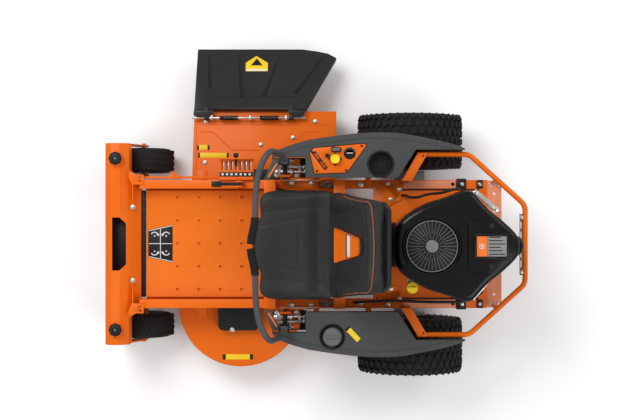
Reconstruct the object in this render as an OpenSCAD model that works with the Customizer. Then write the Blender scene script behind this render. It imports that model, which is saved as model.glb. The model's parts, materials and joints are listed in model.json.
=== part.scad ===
// Zero turn mower: welded frame, side-discharge deck, two driven wheels, two casters, seat,
// lap bars and a V-twin engine behind the seat.
// +X points to the rear, +Y to the discharge side, +Z up. The origin is under the middle of the
// whole machine, at ground level.

/* [Wheels] */
// Distance from the caster axles to the rear axle
wheelbase = 1221; // [1000:1:1500]
// Outer diameter of a rear tyre
rear_tyre_d = 475; // [400:1:570]
// Width of a rear tyre
rear_tyre_w = 246; // [190:1:270]
// Distance between the middles of the rear tyres
track = 916; // [880:1:1100]
// Diameter of a rear rim
rear_rim_d = 205; // [170:1:250]
// Outer diameter of a caster tyre
caster_d = 280; // [220:1:336]
// Width of a caster tyre
caster_w = 113; // [80:1:125]
// Distance of a caster axle behind its swivel
caster_trail = 87; // [60:1:105]
// Distance between the caster swivels
caster_track = 754; // [700:1:860]

/* [Frame] */
// Distance between the middles of the rails
rail_gauge = 527; // [500:1:600]
// Width of a rail
rail_w = 38; // [25:1:46]
// Height of a rail
rail_h = 75; // [55:1:90]
// Wall of the frame's sheet and tube
wall = 4; // [3:0.5:5]
// Width of the front beam across the machine
beam_w = 892; // [840:1:1060]
// Diameter of the rear bumper's tube
hoop_d = 23; // [18:1:28]

/* [Deck] */
// Diameter that one blade sweeps
blade_d = 530; // [420:1:540]
// Gap from a blade's tip to the deck's wall
blade_gap = 15; // [8:1:20]
// Depth of the deck's skirt
deck_depth = 126; // [100:1:150]
// Height of the deck's lower edge above ground
cut_z = 85; // [70:1:100]
// How far the deck rises or drops from its middle setting
deck_travel = 38; // [30:1:44]
// How far the chute reaches past the deck
chute_reach = 294; // [240:1:350]

/* [Seat] */
// Width of the seat cushion
seat_w = 486; // [400:1:500]
// Length of the seat cushion
seat_l = 310; // [260:1:370]
// Thickness of the seat cushion
seat_t = 95; // [70:1:115]
// Height of the seat back, along its slope
back_l = 520; // [430:1:620]
// Lean of the seat back from upright, in degrees
back_lean = 22; // [14:1:27]

/* [Controls] */
// Diameter of the lap bars' tube
bar_d = 26; // [20:1:31]
// Diameter of the lap bars' foam grips
grip_d = 34; // [28:1:40]
// Height of the lap bars above the consoles
bar_rise = 250; // [210:1:290]
// Diameter of the cup holder
cup_d = 100; // [80:1:110]

/* [Engine] */
// Height of the engine, from its plate to the top of the fan screen
engine_h = 380; // [330:1:440]
// Diameter of the fan screen
screen_d = 216; // [180:1:240]

/* [Hidden] */
$fn = 64;

orange = "#f2701d";
dark = "#4a4b4b";
black = "#26272a";
steel = "#a9adb0";

fit = 0.05;    // radial clearance of a shaft in its bore
seated = 0.3;  // gap where a round piece rests on another
gap = 4;       // room beside a turning or sliding piece
bolt_head = 9;

// Heights
caster_r = caster_d / 2;
axle_z = rear_tyre_d / 2;
rail_z = max(caster_d + 60, axle_z + 102.5);
rail_top = rail_z + rail_h;
fender_z = max(rear_tyre_d + 15, rail_top + 75);
fender_h = 60;
console_z = fender_z + fender_h;
hoop_r = hoop_d / 2;
hoop_z = rear_tyre_d + 18.5 + hoop_r;
floor_z = rail_z + 10;
deck_z = cut_z + deck_depth + wall;
bar_z = console_z + bar_rise;

// Places along the machine
rear_x = 408;
caster_x = rear_x - wheelbase;
swivel_x = caster_x - caster_trail;
beam_front = swivel_x - 50;
beam_back = swivel_x + 103;
rail_end = 735;
hoop_back = 903;
hoop_front = 421;
crank_x = 463;

// Places across the machine
rail_y = rail_gauge / 2;
rail_in = rail_y - rail_w / 2;
rail_out = rail_y + rail_w / 2;
wheel_y = track / 2;
tyre_in = wheel_y - rear_tyre_w / 2;
swivel_y = caster_track / 2;
console_in = rail_out + 5;
console_out = console_in + 198;
hoop_y = tyre_in + 57;
blade_r = blade_d / 2;
dome_r = blade_r + blade_gap + wall;
spindle_step = 106;
spindle_y = 0.5 * sqrt(pow(2 * blade_r + 15.4, 2) - spindle_step * spindle_step);
left_spindle = [-361, -spindle_y - 12.4];
right_spindle = [left_spindle[0] + spindle_step, spindle_y - 12.4];
deck_side = right_spindle[1] + dome_r + 61;
deck_front = right_spindle[0] - dome_r - 48;
deck_back = right_spindle[0] + dome_r + 45;
chute_y = deck_side - 32;
chute_edge = deck_side + chute_reach;

mid_x = (beam_front - bolt_head + hoop_back) / 2;
mid_y = (chute_edge - wheel_y - rear_tyre_w / 2) / 2;

// Moves a piece from the machine's own datum, on the centreline under the seat, to the origin
module placed() {
    translate([-mid_x, -mid_y, 0]) children();
}

module both_sides() {
    children();
    mirror([0, 1, 0]) children();
}

// side is 1 for the discharge side and -1 for the other
module on_side(side) {
    mirror([0, side < 0 ? 1 : 0, 0]) children();
}

module block(low, high) {
    translate(low) cube(high - low);
}

// Points along a line through corners, each corner rounded over a length of cut on either side
function rounded_line(corners, cut) = [
    corners[0],
    for (i = [1 : len(corners) - 2])
        let (
            here = corners[i], to = corners[i - 1] - here, from = corners[i + 1] - here,
            start = here + to / norm(to) * min(cut, norm(to) * 0.45),
            end = here + from / norm(from) * min(cut, norm(from) * 0.45)
        )
        for (t = [0 : 0.25 : 1]) (1 - t) * (1 - t) * start + 2 * t * (1 - t) * here + t * t * end,
    corners[len(corners) - 1]
];

// The corners of one ring of a bent bar: at a point, square to its direction. The guide is a
// direction that the bar never runs in.
function ring(at, direction, guide, r, sides) =
    let (
        d = direction / norm(direction), u = cross(guide, d) / norm(cross(guide, d)), v = cross(d, u)
    )
    [for (k = [0 : sides - 1]) at + r * (cos(360 * k / sides) * u + sin(360 * k / sides) * v)];

// A bent bar along points
module swept(points, guide, r, sides) {
    last = len(points) - 1;
    polyhedron(
        [for (i = [0 : last])
            each ring(points[i], points[min(i + 1, last)] - points[max(i - 1, 0)], guide, r, sides)],
        concat(
            [[for (k = [0 : sides - 1]) k]],
            [[for (k = [sides - 1 : -1 : 0]) last * sides + k]],
            [for (i = [0 : last - 1]) for (k = [0 : sides - 1]) let (next = (k + 1) % sides)
                each [[i * sides + k, (i + 1) * sides + next, i * sides + next],
                    [i * sides + k, (i + 1) * sides + k, (i + 1) * sides + next]]]
        )
    );
}

// A round bar along Y
module across(x, y0, y1, z, r) {
    translate([x, y0, z]) rotate([-90, 0, 0]) cylinder(h = y1 - y0, r = r);
}

// A round bar along X
module along(x0, x1, y, z, r) {
    translate([x0, y, z]) rotate([0, 90, 0]) cylinder(h = x1 - x0, r = r);
}

function arc(centre, r, from, to, steps) =
    [for (i = [0 : steps]) centre + r * [cos(from + (to - from) * i / steps), sin(from + (to - from) * i / steps)]];

function rounded(low, high, r) = concat(
    arc([high[0] - r, high[1] - r], r, 0, 90, 8), arc([low[0] + r, high[1] - r], r, 90, 180, 8),
    arc([low[0] + r, low[1] + r], r, 180, 270, 8), arc([high[0] - r, low[1] + r], r, 270, 360, 8));

module slab(points, low, high) {
    translate([0, 0, low]) linear_extrude(high - low) polygon(points);
}

// ---- Frame ----

module frame_rails() {
    color(orange) placed() both_sides() difference() {
        block([beam_back, rail_in, rail_z], [rail_end, rail_out, rail_top]);
        block([beam_back - 1, rail_in + wall, rail_z + wall],
            [rail_end + 1, rail_out - wall, rail_top - wall]);
    }
}

beam_low = rail_z - 5;
beam_top = rail_top + 5;
handle_y = 117;
housing_r = 32;
stem_r = 12.7;

module beam_section(inset) {
    polygon([
        [beam_front + inset, beam_low - inset], [beam_front + inset, beam_top - 22 - inset],
        [beam_front + 28 + inset / 2, beam_top - inset], [beam_front + 66, beam_top - inset],
        [beam_back - inset, beam_top - 58 - inset], [beam_back - inset, beam_low - inset]
    ]);
}

module front_beam() {
    color(orange) placed() difference() {
        union() {
            difference() {
                translate([0, beam_w / 2, 0]) rotate([90, 0, 0]) linear_extrude(beam_w) beam_section(0);
                translate([0, beam_w / 2 - wall, 0]) rotate([90, 0, 0])
                    linear_extrude(beam_w - 2 * wall) beam_section(wall);
            }
            both_sides() translate([swivel_x, swivel_y, rail_z - 20])
                cylinder(h = rail_h + 45, r = housing_r);
            for (y = [-handle_y - 8, handle_y + 8])
                block([beam_front + wall, y - 2, beam_low], [beam_back - wall, y + 2, rail_top - 54]);
        }
        both_sides() translate([swivel_x, swivel_y, rail_z - 21])
            cylinder(h = rail_h + 50, r = stem_r + fit);
        slab([
            [swivel_x - 17, -handle_y], [swivel_x + 15, -handle_y], [swivel_x + 42, -handle_y + 27],
            [swivel_x + 42, handle_y - 27], [swivel_x + 15, handle_y], [swivel_x - 17, handle_y]
        ], beam_low - 1, beam_top + 1);
        both_sides() slab([
            [beam_back + 1, beam_w / 2 - 155], [beam_back - 48, beam_w / 2 - 116],
            [beam_back - 48, beam_w / 2 + 1], [beam_back + 1, beam_w / 2 + 1]
        ], beam_low - 1, beam_top + 1);
    }
}

platform_front = beam_back + 22;
platform_back = -235;

module foot_platform() {
    color(orange) placed() {
        difference() {
            block([platform_front, -rail_in, floor_z - wall], [platform_back, rail_in, floor_z]);
            block([platform_front + 9, -60, floor_z - 1.5], [platform_front + 117, 60, floor_z + 1]);
        }
        both_sides() block([platform_front, rail_in - wall - 8, floor_z],
            [platform_back, rail_in - 8, floor_z + 22]);
    }
}

tube_front = -245;
tube_rear = 60;
tube_h = 50;
plate_front = 235;
seat_hinge_x = tube_front + 25;
seat_hinge_z = rail_top + tube_h + 14;

module cross_members() {
    color(orange) placed() {
        difference() {
            union() {
                for (x = [tube_front, tube_rear])
                    block([x, -rail_out, rail_top], [x + 50, rail_out, rail_top + tube_h]);
                both_sides() block([tube_front + 10, 165, rail_top + tube_h],
                    [tube_front + 40, 173, seat_hinge_z + 12]);
            }
            for (x = [tube_front, tube_rear])
                block([x + wall, -rail_out - 1, rail_top + wall],
                    [x + 50 - wall, rail_out + 1, rail_top + tube_h - wall]);
            across(seat_hinge_x, -180, 180, seat_hinge_z, 6 + fit);
        }
        difference() {
            block([plate_front, -rail_out, rail_top], [rail_end, rail_out, rail_top + 6]);
            translate([crank_x, 0, rail_top - 1]) cylinder(h = 8, r = 30);
        }
    }
}

hole_x = 769;
hole_y = 222;
hole_r = 5.5;

module rear_crossmember() {
    color(orange) placed() difference() {
        union() {
            block([rail_end, -280, rail_top - 6], [rail_end + 66, 280, rail_top]);
            block([rail_end, -280, rail_top - 60], [rail_end + 6, 280, rail_top - 6]);
            block([rail_end + 60, -280, rail_top - 60], [rail_end + 66, 280, rail_top - 6]);
            both_sides() block([hole_x - 8, 268, rail_top], [hole_x + 4, 280, hoop_z - hoop_r - seated]);
        }
        both_sides() translate([hole_x, hole_y, rail_top - 8]) cylinder(h = 10, r = hole_r);
        translate([hole_x, 144, rail_top - 8]) cylinder(h = 10, r = hole_r);
    }
}

module hoop(r) {
    back = hoop_back - hoop_r;
    swept(rounded_line([
        [hoop_front, hoop_y, hoop_z], [647, hoop_y, hoop_z], [back, 171, hoop_z],
        [back, -171, hoop_z], [647, -hoop_y, hoop_z], [hoop_front, -hoop_y, hoop_z]
    ], 24), [0, 0, 1], r, 20);
}

module bumper_hoop() {
    color(orange) placed() hoop(hoop_r);
}

module bumper_straps() {
    low = hoop_z + hoop_r + seated;
    color(orange) placed() both_sides() {
        difference() {
            slab([
                [hoop_front + 3, hoop_y + 6], [hoop_front + 47, hoop_y + 6], [398, rail_out - 6],
                [354, rail_out - 6]
            ], low, low + 6);
            translate([hoop_front + 26, hoop_y - 8, low - 1]) cylinder(h = 8, r = 5.5);
        }
        block([354, rail_out - 6, rail_top + 6], [398, rail_out, low]);
    }
}

module step_plate() {
    color("#6d5a4c") placed() difference() {
        block([hoop_back - hoop_d - 12 - seated, -133, hoop_z - 5],
            [hoop_back - hoop_d - seated, 133, hoop_z + 5]);
        for (y = [-84 : 42 : 84])
            block([hoop_back - hoop_d - 9, y - 14, hoop_z - 6], [hoop_back - hoop_d - 4, y + 14, hoop_z + 6]);
    }
}

// ---- Consoles over the rear wheels ----

strap_x = 414;

function console_outline(out) = [
    [-207, console_in], [-207, console_out - 100 - out], [-170, console_out - 70 - out],
    [-70, console_out - 40 - out], [60, console_out - 17 - out], [170, console_out - 4 - out],
    [274, console_out - out], [360, console_out - 4 - out], [480, console_out - 26 - out],
    [600 - out, console_out - 60 - out], [632 - out, hoop_y + hoop_r + 1 + out / 2 + gap],
    [strap_x + out, hoop_y + hoop_r + gap], [338 - out, console_in]
];

opening_x = [-200, -62];
opening_y = console_in + 92;
cup_x = 262;
cup_y = console_in + 61;
cap_x = 53;
cap_y = console_in + 109;
neck_r = 30;

module console_shell() {
    difference() {
        slab(console_outline(0), fender_z, console_z);
        slab([for (p = console_outline(wall)) [p[0] + (p[0] < -190 ? wall : 0), max(p[1], console_in + wall)]],
            fender_z - 1, console_z - wall);
        block([opening_x[0], console_in - 1, fender_z - 1],
            [opening_x[1], opening_y, console_z + 1]);
    }
}

panel_t = 3;
panel = [
    [-43, console_in + 109], [-26, console_in + 129], [190, console_in + 148],
    [199, console_in + 141], [122, console_in + 33], [110, console_in + 24],
    [-23, console_in + 20]
];
pto_at = [65, console_in + 82];
key_at = [128, console_in + 107];
meter_at = [70, console_in + 121];
choke_at = [31, console_in + 97];
slot_at = [-1, console_in + 76];
slot_turn = -53;
pto_r = 9;
key_r = 9;
choke_r = 4;
cup_depth = 52;
throttle_z = console_z - 34;

module fender_right() {
    color(dark) placed() difference() {
        union() {
            console_shell();
            translate([cup_x, cup_y, console_z - cup_depth]) cylinder(h = cup_depth, r = cup_d / 2 + wall);
        }
        translate([cup_x, cup_y, console_z - cup_depth + wall]) cylinder(h = cup_depth, r = cup_d / 2);
        slab([
            [-28, console_in + 104], [-18, console_in + 116], [160, console_in + 130],
            [112, console_in + 43], [104, console_in + 36], [-14, console_in + 32]
        ], console_z - wall - 1, console_z + 1);
    }
}

module fender_left() {
    color(dark) placed() on_side(-1) difference() {
        union() {
            console_shell();
            translate([cap_x, cap_y, console_z - 40]) cylinder(h = 40, r = 52 + wall);
        }
        translate([cap_x, cap_y, console_z - 40 + wall]) cylinder(h = 40, r = 52);
        translate([cap_x, cap_y, console_z - 41]) cylinder(h = 42, r = neck_r + seated);
    }
}

module control_panel() {
    color(orange) placed() difference() {
        union() {
            slab(panel, console_z, console_z + panel_t);
            translate([slot_at[0], slot_at[1], 0]) rotate([0, 0, slot_turn]) for (y = [-14, 9])
                block([-8, y, throttle_z - 10], [8, y + 5, console_z]);
        }
        translate([slot_at[0], slot_at[1], 0]) rotate([0, 0, slot_turn])
            across(0, -16, 16, throttle_z, 6 + fit);
        translate([pto_at[0], pto_at[1], console_z - 1]) cylinder(h = 9, r = pto_r + fit);
        translate([key_at[0], key_at[1], console_z - 1]) cylinder(h = 9, r = key_r + fit);
        translate([choke_at[0], choke_at[1], console_z - 1]) cylinder(h = 9, r = choke_r + fit);
        translate([slot_at[0], slot_at[1], console_z - 1]) rotate([0, 0, slot_turn])
            block([-38, -5, 0], [38, 5, 9]);
    }
}

module hour_meter() {
    color(black) placed() translate([meter_at[0], meter_at[1], console_z + panel_t])
        rotate([0, 0, -6]) slab(rounded([-21, -9], [21, 13], 4), 0, 8);
}

lever_x = -153;
lever_z = fender_z - 20;
lever_y = console_in + 62;
shaft_r = 10;

module console_brackets() {
    foot = 6;
    color(orange) placed() both_sides() {
        difference() {
            union() {
                block([lever_x - 24, rail_in, rail_top], [lever_x + 24, console_in + 16, rail_top + foot]);
                block([lever_x - 24, console_in + 6, rail_top + foot],
                    [lever_x + 24, console_in + 16, lever_z + 18]);
            }
            across(lever_x, console_in - 5, console_in + 30, lever_z, shaft_r + fit);
        }
        for (x = [-30, 200]) {
            block([x, rail_in, rail_top], [x + 26, console_in + 16, rail_top + foot]);
            block([x, console_in + 10, rail_top + foot], [x + 26, console_in + 16, console_z - wall]);
        }
    }
}

// ---- Engine ----

plate_z = rail_top + 6;
engine_top = plate_z + engine_h;
shroud_z = engine_top - 190;
screen_r = screen_d / 2;
crank_r = 14;

shroud_line = [
    [300, 0], [300, 88], [335, 104], [377, 138], [441, 176], [505, 197], [589, 229], [632, 231],
    [674, 176], [730, 125], [764, 100], [806, 60], [840, 23], [840, 0]
];

neck = 70;

module shroud_half(inset) {
    slab([for (p = shroud_line) [
        p[0] < crank_x ? p[0] + inset : p[0] - inset, p[1] > 0 ? p[1] - inset : 0
    ]], inset > 0 ? -1 : 0, 190 - inset);
}

module blower_shroud() {
    color(black) placed() difference() {
        translate([0, 0, shroud_z - 10]) both_sides() shroud_half(0);
        translate([0, 0, shroud_z - 10]) both_sides() shroud_half(wall);
        translate([crank_x, 0, shroud_z]) cylinder(h = 200, r = screen_r + 3);
    }
    color(black) placed() difference() {
        block([crank_x - 30, -178, shroud_z - 10], [crank_x + 30, 178, shroud_z - 6]);
        translate([crank_x, 0, shroud_z - 20]) cylinder(h = 40, r = neck + seated);
    }
}

cover_z = shroud_z + 180;

module air_cleaner_cover() {
    color(black) placed() {
        slab(concat([[600, 108], [600, -108]], [[720, -112], [800, -56], [800, 56], [720, 112]]),
            cover_z, cover_z + 8);
        slab(rounded([640, -47], [776, 47], 6), cover_z + 8, cover_z + 18);
        both_sides() translate([707, 82, cover_z + 8]) cylinder(h = 16, r = 13);
    }
}

filler = [388, -177];

module engine_block() {
    color(steel) placed() difference() {
        union() {
            slab(rounded([crank_x - 120, -120], [crank_x, 120], 24), plate_z, plate_z + 150);
            translate([crank_x, 0, plate_z]) cylinder(h = 150, r = 91.7);
            translate([crank_x, 0, plate_z + 150]) cylinder(h = shroud_z + 20 - plate_z - 150, r = neck);
            block([filler[0] - 12, filler[1] - 10, plate_z + 110], [filler[0] + 12, -110, plate_z + 134]);
            translate([filler[0], filler[1], plate_z + 110]) cylinder(h = 160, r = 14);
        }
        translate([crank_x, 0, plate_z - 1]) cylinder(h = 400, r = crank_r + fit);
    }
}

module cylinders() {
    color(steel) placed() both_sides() translate([crank_x, 0, plate_z + 45]) rotate([0, 0, 42]) {
        block([92, -40, 0], [140, 40, 90]);
        for (x = [94 : 12 : 202]) block([x, -62, -8], [x + 5, 62, 98]);
        block([140, -34, 6], [212, 34, 84]);
        block([212, -56, -4], [240, 56, 94]);
    }
}

muffler_r = 38;

module muffler() {
    color(steel) placed() {
        across(698, -88, 88, plate_z + muffler_r + seated, muffler_r);
        along(698, 775, -60, plate_z + muffler_r + seated, 14);
    }
}

module battery() {
    color(black) placed() {
        block([245, -95, plate_z], [335, 95, plate_z + 150]);
        both_sides() translate([270, 70, plate_z + 150]) cylinder(h = 14, r = 9);
    }
}

axle_r = 17.5;

module transaxles() {
    color(steel) placed() both_sides() difference() {
        union() {
            block([rear_x - 68, rail_in - 40, axle_z - 60], [rear_x + 62, tyre_in - 10, axle_z + 60]);
            block([rear_x - 50, rail_in, axle_z + 60], [rear_x + 50, rail_out, rail_z]);
            translate([rear_x - 40, rail_in - 20, axle_z - 60]) rotate([180, 0, 0]) cylinder(h = 20, r = 22);
            across(rear_x, tyre_in - 10, tyre_in + 40, axle_z, 30);
        }
        across(rear_x, rail_in + 20, tyre_in + 41, axle_z, axle_r + fit);
    }
}

module fuel_tank() {
    color(black) placed() on_side(-1) {
        slab(rounded([-50, console_in + 16 + seated], [150, rail_out + 180], 20), rail_z + 5, fender_z - 10);
        translate([cap_x, cap_y, fender_z - 10]) cylinder(h = console_z + 4 - fender_z + 10, r = neck_r);
    }
}

height_x = [-445, -294];

module height_bracket() {
    color(orange) placed() difference() {
        union() {
            block([height_x[0], rail_out, rail_top - 30], [height_x[1], rail_out + 4, rail_top + 20]);
            block([height_x[0], rail_out + 4, rail_top - 4], [height_x[1], rail_out + 95, rail_top]);
            block([height_x[0], rail_out + 91, rail_top], [height_x[1], rail_out + 95, rail_top + 34]);
            for (y = [rail_y - 14, rail_y + 8])
                block([pedal_x - 14, y, rail_top], [pedal_x + 14, y + 6, pedal_z + 12]);
        }
        for (i = [0 : 6])
            across(height_x[0] + 18 + i * 19, rail_out + 90, rail_out + 96, rail_top + 18, pin_r + fit);
        across(height_x[0] + 18 + 3 * 19, rail_out - 1, rail_out + 5, rail_top + 10, 4);
        across(pedal_x, rail_y - 20, rail_y + 20, pedal_z, pedal_r + fit);
    }
}

pin_r = 5;
pedal_z = rail_top + 52;
pedal_x = -352;
pedal_r = 5;

module bolt(at, r, h) {
    translate(at) cylinder(h = h, r = r, $fn = 6);
}

module fasteners() {
    color(steel) placed() {
        both_sides() {
            translate([swivel_x, swivel_y, rail_z + rail_h + 25]) cylinder(h = 12, r = 25);
            for (x = [626, 704]) bolt([x, rail_y, rail_top + 6], 9, 7);
            bolt([hoop_front + 26, hoop_y - 8, hoop_z + hoop_r + seated + 6], 9, 7);
            for (x = [-60, 130]) bolt([x, rail_y, rail_top], 8, 6);
            along(beam_front - bolt_head, beam_front, 157, rail_z + 16, 9);
        }
        for (p = [[-34, 112], [180, 139], [113, 34], [-14, 30]])
            translate([p[0], console_in + p[1], console_z + panel_t]) cylinder(h = 2.5, r = 4);
    }
}

cable_r = 6;
cable_right = [
    [360, 214, 422.8], [372, 214, 470], [392, 205, 540], [420, 205, 572], [455, 216, 582],
    [520, 224, 578], [585, 240, 540], [620, 236, 480], [640, 225, 424]
];
cable_left = [
    [150, -256, 417.4], [160, -256, 446], [190, -252, 470], [250, -248, 478], [320, -246, 470],
    [352, -240, 450], [362, -236, 423.5]
];

module cables() {
    color(black) placed() {
        swept(rounded_line(cable_right, 14), [0, 1, 0], cable_r, 8);
        swept(rounded_line(cable_left, 14), [0, 1, 0], cable_r, 8);
    }
}

// ---- Casters ----

crown_z = rail_z - 50;
leg_in = caster_w / 2 + 7;
leg_t = 8;
caster_axle_r = 9.5;

module fork() {
    color(orange) {
        block([swivel_x - 34, swivel_y - leg_in - leg_t, crown_z],
            [swivel_x + 52, swivel_y + leg_in + leg_t, crown_z + 10]);
        for (y = [swivel_y - leg_in - leg_t, swivel_y + leg_in])
            translate([0, y + leg_t, 0]) rotate([90, 0, 0]) linear_extrude(leg_t) polygon([
                [swivel_x - 20, crown_z], [caster_x - 24, caster_r - 14], [caster_x + 2, caster_r - 26],
                [caster_x + 22, caster_r - 8], [caster_x + 18, caster_r + 16], [swivel_x + 52, crown_z]
            ]);
        translate([swivel_x, swivel_y, crown_z + 10]) cylinder(h = 17, r = 26);
        translate([swivel_x, swivel_y, crown_z + 10]) cylinder(h = rail_h + 62, r = stem_r);
    }
    color(steel) across(caster_x, swivel_y - leg_in - leg_t - 9, swivel_y + leg_in + leg_t + 9,
        caster_r, caster_axle_r);
}

module fork_right() {
    placed() fork();
}

module fork_left() {
    placed() on_side(-1) fork();
}

// A turned piece about Y: points are radius and distance from the wheel's middle
module turned(x, y, z, points) {
    translate([x, y, z]) rotate([-90, 0, 0]) rotate_extrude($fn = 96) polygon(points);
}

module tyre(x, y, z, r, w, rim_r) {
    h = w / 2;
    shoulder = min(h * 0.22, 22);
    color(black) turned(x, y, z, [
        [rim_r, -h + 14], [rim_r + 12, -h + 4], [rim_r + (r - rim_r) * 0.5, -h],
        [r - shoulder, -h + 5], [r - 4, -h + shoulder], [r, -h * 0.55], [r, h * 0.55],
        [r - 4, h - shoulder], [r - shoulder, h - 5], [rim_r + (r - rim_r) * 0.5, h],
        [rim_r + 12, h - 4], [rim_r, h - 14]
    ]);
}

caster_rim_r = 64;

module caster_rim() {
    h = caster_w / 2;
    color("#b9bbbd") turned(caster_x, swivel_y, caster_r, [
        [caster_axle_r + fit, -h - 4], [22, -h - 4], [22, -12], [52, -12], [caster_rim_r, -h + 14],
        [caster_rim_r, h - 14], [52, 12], [22, 12], [22, h + 4], [caster_axle_r + fit, h + 4]
    ]);
}

module caster_tyre_right() {
    placed() tyre(caster_x, swivel_y, caster_r, caster_r, caster_w, caster_rim_r);
}

module caster_tyre_left() {
    placed() on_side(-1) tyre(caster_x, swivel_y, caster_r, caster_r, caster_w, caster_rim_r);
}

module caster_rim_right() {
    placed() caster_rim();
}

module caster_rim_left() {
    placed() on_side(-1) caster_rim();
}

// ---- Rear wheels ----

rear_rim_r = rear_rim_d / 2;

module rear_rim() {
    h = rear_tyre_w / 2;
    dish = 40;
    color("#c4c6c8") {
        turned(rear_x, wheel_y, axle_z, [
            [0, -h - 14 + 2], [0, dish + 26], [26, dish + 26], [30, dish + 4], [rear_rim_r - 12, dish],
            [rear_rim_r - 8, h - 12], [rear_rim_r, h - 14], [rear_rim_r, -h + 14],
            [rear_rim_r - 8, -h + 12], [rear_rim_r - 10, dish - 8], [45, dish - 4],
            [45, -h + 46], [axle_r, -h + 46], [axle_r, -h - 12]
        ]);
        for (a = [0 : 72 : 288]) translate([rear_x, wheel_y, axle_z]) rotate([0, a, 0])
            translate([0, dish + 2, 52]) rotate([-90, 0, 0]) cylinder(h = 14, r = 10);
    }
}

module rear_tyre_right() {
    placed() tyre(rear_x, wheel_y, axle_z, axle_z, rear_tyre_w, rear_rim_r);
}

module rear_tyre_left() {
    placed() on_side(-1) tyre(rear_x, wheel_y, axle_z, axle_z, rear_tyre_w, rear_rim_r);
}

module rear_rim_right() {
    placed() rear_rim();
}

module rear_rim_left() {
    placed() on_side(-1) rear_rim();
}

// ---- Deck ----

module deck_outline(inset) {
    translate(left_spindle) circle(r = dome_r - inset, $fn = 96);
    translate(right_spindle) circle(r = dome_r - inset, $fn = 96);
    polygon([
        [deck_front + 14 + inset, deck_side - inset], [deck_front + inset, rail_in - 20],
        left_spindle + (dome_r - inset) * [cos(170), sin(170)],
        left_spindle + (dome_r - inset) * [cos(-32), sin(-32)],
        [deck_back - inset, 100], [deck_back - inset, deck_side - inset]
    ]);
}

module deck_top() {
    color(orange) placed() difference() {
        translate([0, 0, deck_z - wall]) linear_extrude(wall) deck_outline(0);
        for (p = [left_spindle, right_spindle])
            translate([p[0], p[1], deck_z - wall - 1]) cylinder(h = wall + 2, r = 42);
    }
}

discharge_x = [deck_front + 40, right_spindle[0] + 120];

module deck_skirt() {
    color(orange) placed() difference() {
        translate([0, 0, cut_z]) linear_extrude(deck_depth) deck_outline(0);
        translate([0, 0, cut_z - 1]) linear_extrude(deck_depth + 2) deck_outline(wall);
        block([discharge_x[0], deck_side - 20, cut_z - 1],
            [discharge_x[1], deck_side + 1, cut_z + deck_depth + 1]);
    }
}

spindle_r = 12.5;
housing_top = deck_z + 14;

module deck_fittings() {
    color(steel) placed() {
        for (p = [left_spindle, right_spindle]) difference() {
            union() {
                translate([p[0], p[1], deck_z]) cylinder(h = 14, r = 62);
                translate([p[0], p[1], deck_z - 36]) cylinder(h = 36, r = 40);
            }
            translate([p[0], p[1], deck_z - 40]) cylinder(h = 60, r = spindle_r + fit);
        }
        for (p = [[deck_front + 67, 553], [deck_back - 94, 554], [-122, 480], [-269, 448], [deck_front + 63, 366]])
            translate([p[0], min(p[1], deck_side - 12), deck_z]) cylinder(h = 4, r = 8);
    }
    color(orange) placed() for (p = [[1, -560], [1, deck_back - 60], [-1, -560], [-1, -150]]) on_side(p[0]) {
        inner = rail_out + seated;
        block([p[1], inner, deck_z], [p[1] + 44, inner + 50, deck_z + 5]);
        block([p[1], inner, deck_z + 5], [p[1] + 44, inner + 5, rail_z + 30]);
    }
}

module cover_box(low, high) {
    difference() {
        slab(rounded(low, high, 24), deck_z, deck_z + 47);
        slab(rounded(low + [3, 3], high - [3, 3], 22), deck_z - 1, deck_z + 44);
    }
}

module deck_covers() {
    color(dark) placed() {
        cover_box(left_spindle + [-100, -116], left_spindle + [85, 110]);
        cover_box(right_spindle + [-85, -110], right_spindle + [85, 80]);
    }
}

hinge_z = deck_z + 30;
rod_r = 5;
chute_x = [deck_front + 16, right_spindle[0] + 193];
ear_x = [chute_x[0] + 80, (chute_x[0] + chute_x[1]) / 2, chute_x[1] - 92];

module chute_hinge() {
    color(steel) placed() {
        along(ear_x[0] - 90, ear_x[2] + 90, chute_y, hinge_z, rod_r);
        for (x = ear_x) difference() {
            block([x - 4, chute_y - 10, deck_z], [x + 4, chute_y + 10, hinge_z + 10]);
            along(x - 5, x + 5, chute_y, hinge_z, rod_r + seated);
        }
    }
}

chute_drop = 125;
chute_t = 4;

// The chute's sloping panel, seen from above, as a thin sheet
module chute_sheet(low, high) {
    slope = atan2(chute_drop, chute_reach - 8);
    length = norm([chute_drop, chute_reach - 8]);
    tip = 32;
    translate([0, deck_side + 8, hinge_z + 5]) rotate([-slope, 0, 0]) difference() {
        slab([
            [chute_x[0], 0], [chute_x[0] + 6, length], [chute_x[1] - 100, length],
            [chute_x[1] - 40, length - 9], [chute_x[1] + 60, length - 22],
            [chute_x[1] + tip + 106, length - 46], [chute_x[1], 0]
        ], low, high);
        if (low < -chute_t) slab([
            [chute_x[0] + chute_t, chute_t], [chute_x[0] + 6 + chute_t, length - chute_t],
            [chute_x[1] - 100, length - chute_t], [chute_x[1] - 42, length - 9 - chute_t],
            [chute_x[1] + 58, length - 22 - chute_t], [chute_x[1] + tip + 96, length - 48],
            [chute_x[1] - 4, chute_t]
        ], low - 1, high - chute_t);
    }
}

module chute() {
    color(black) placed() difference() {
        union() {
            chute_sheet(-24, 0);
            for (x = [ear_x[0] - 24, ear_x[2] + 24]) hull() {
                along(x - 10, x + 10, chute_y, hinge_z, 11);
                block([x - 10, deck_side + 6, hinge_z - 2], [x + 10, deck_side + 16, hinge_z + 4]);
            }
        }
        along(ear_x[0] - 100, ear_x[2] + 100, chute_y, hinge_z, rod_r + fit);
    }
}

blade_z = cut_z + 22;

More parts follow.
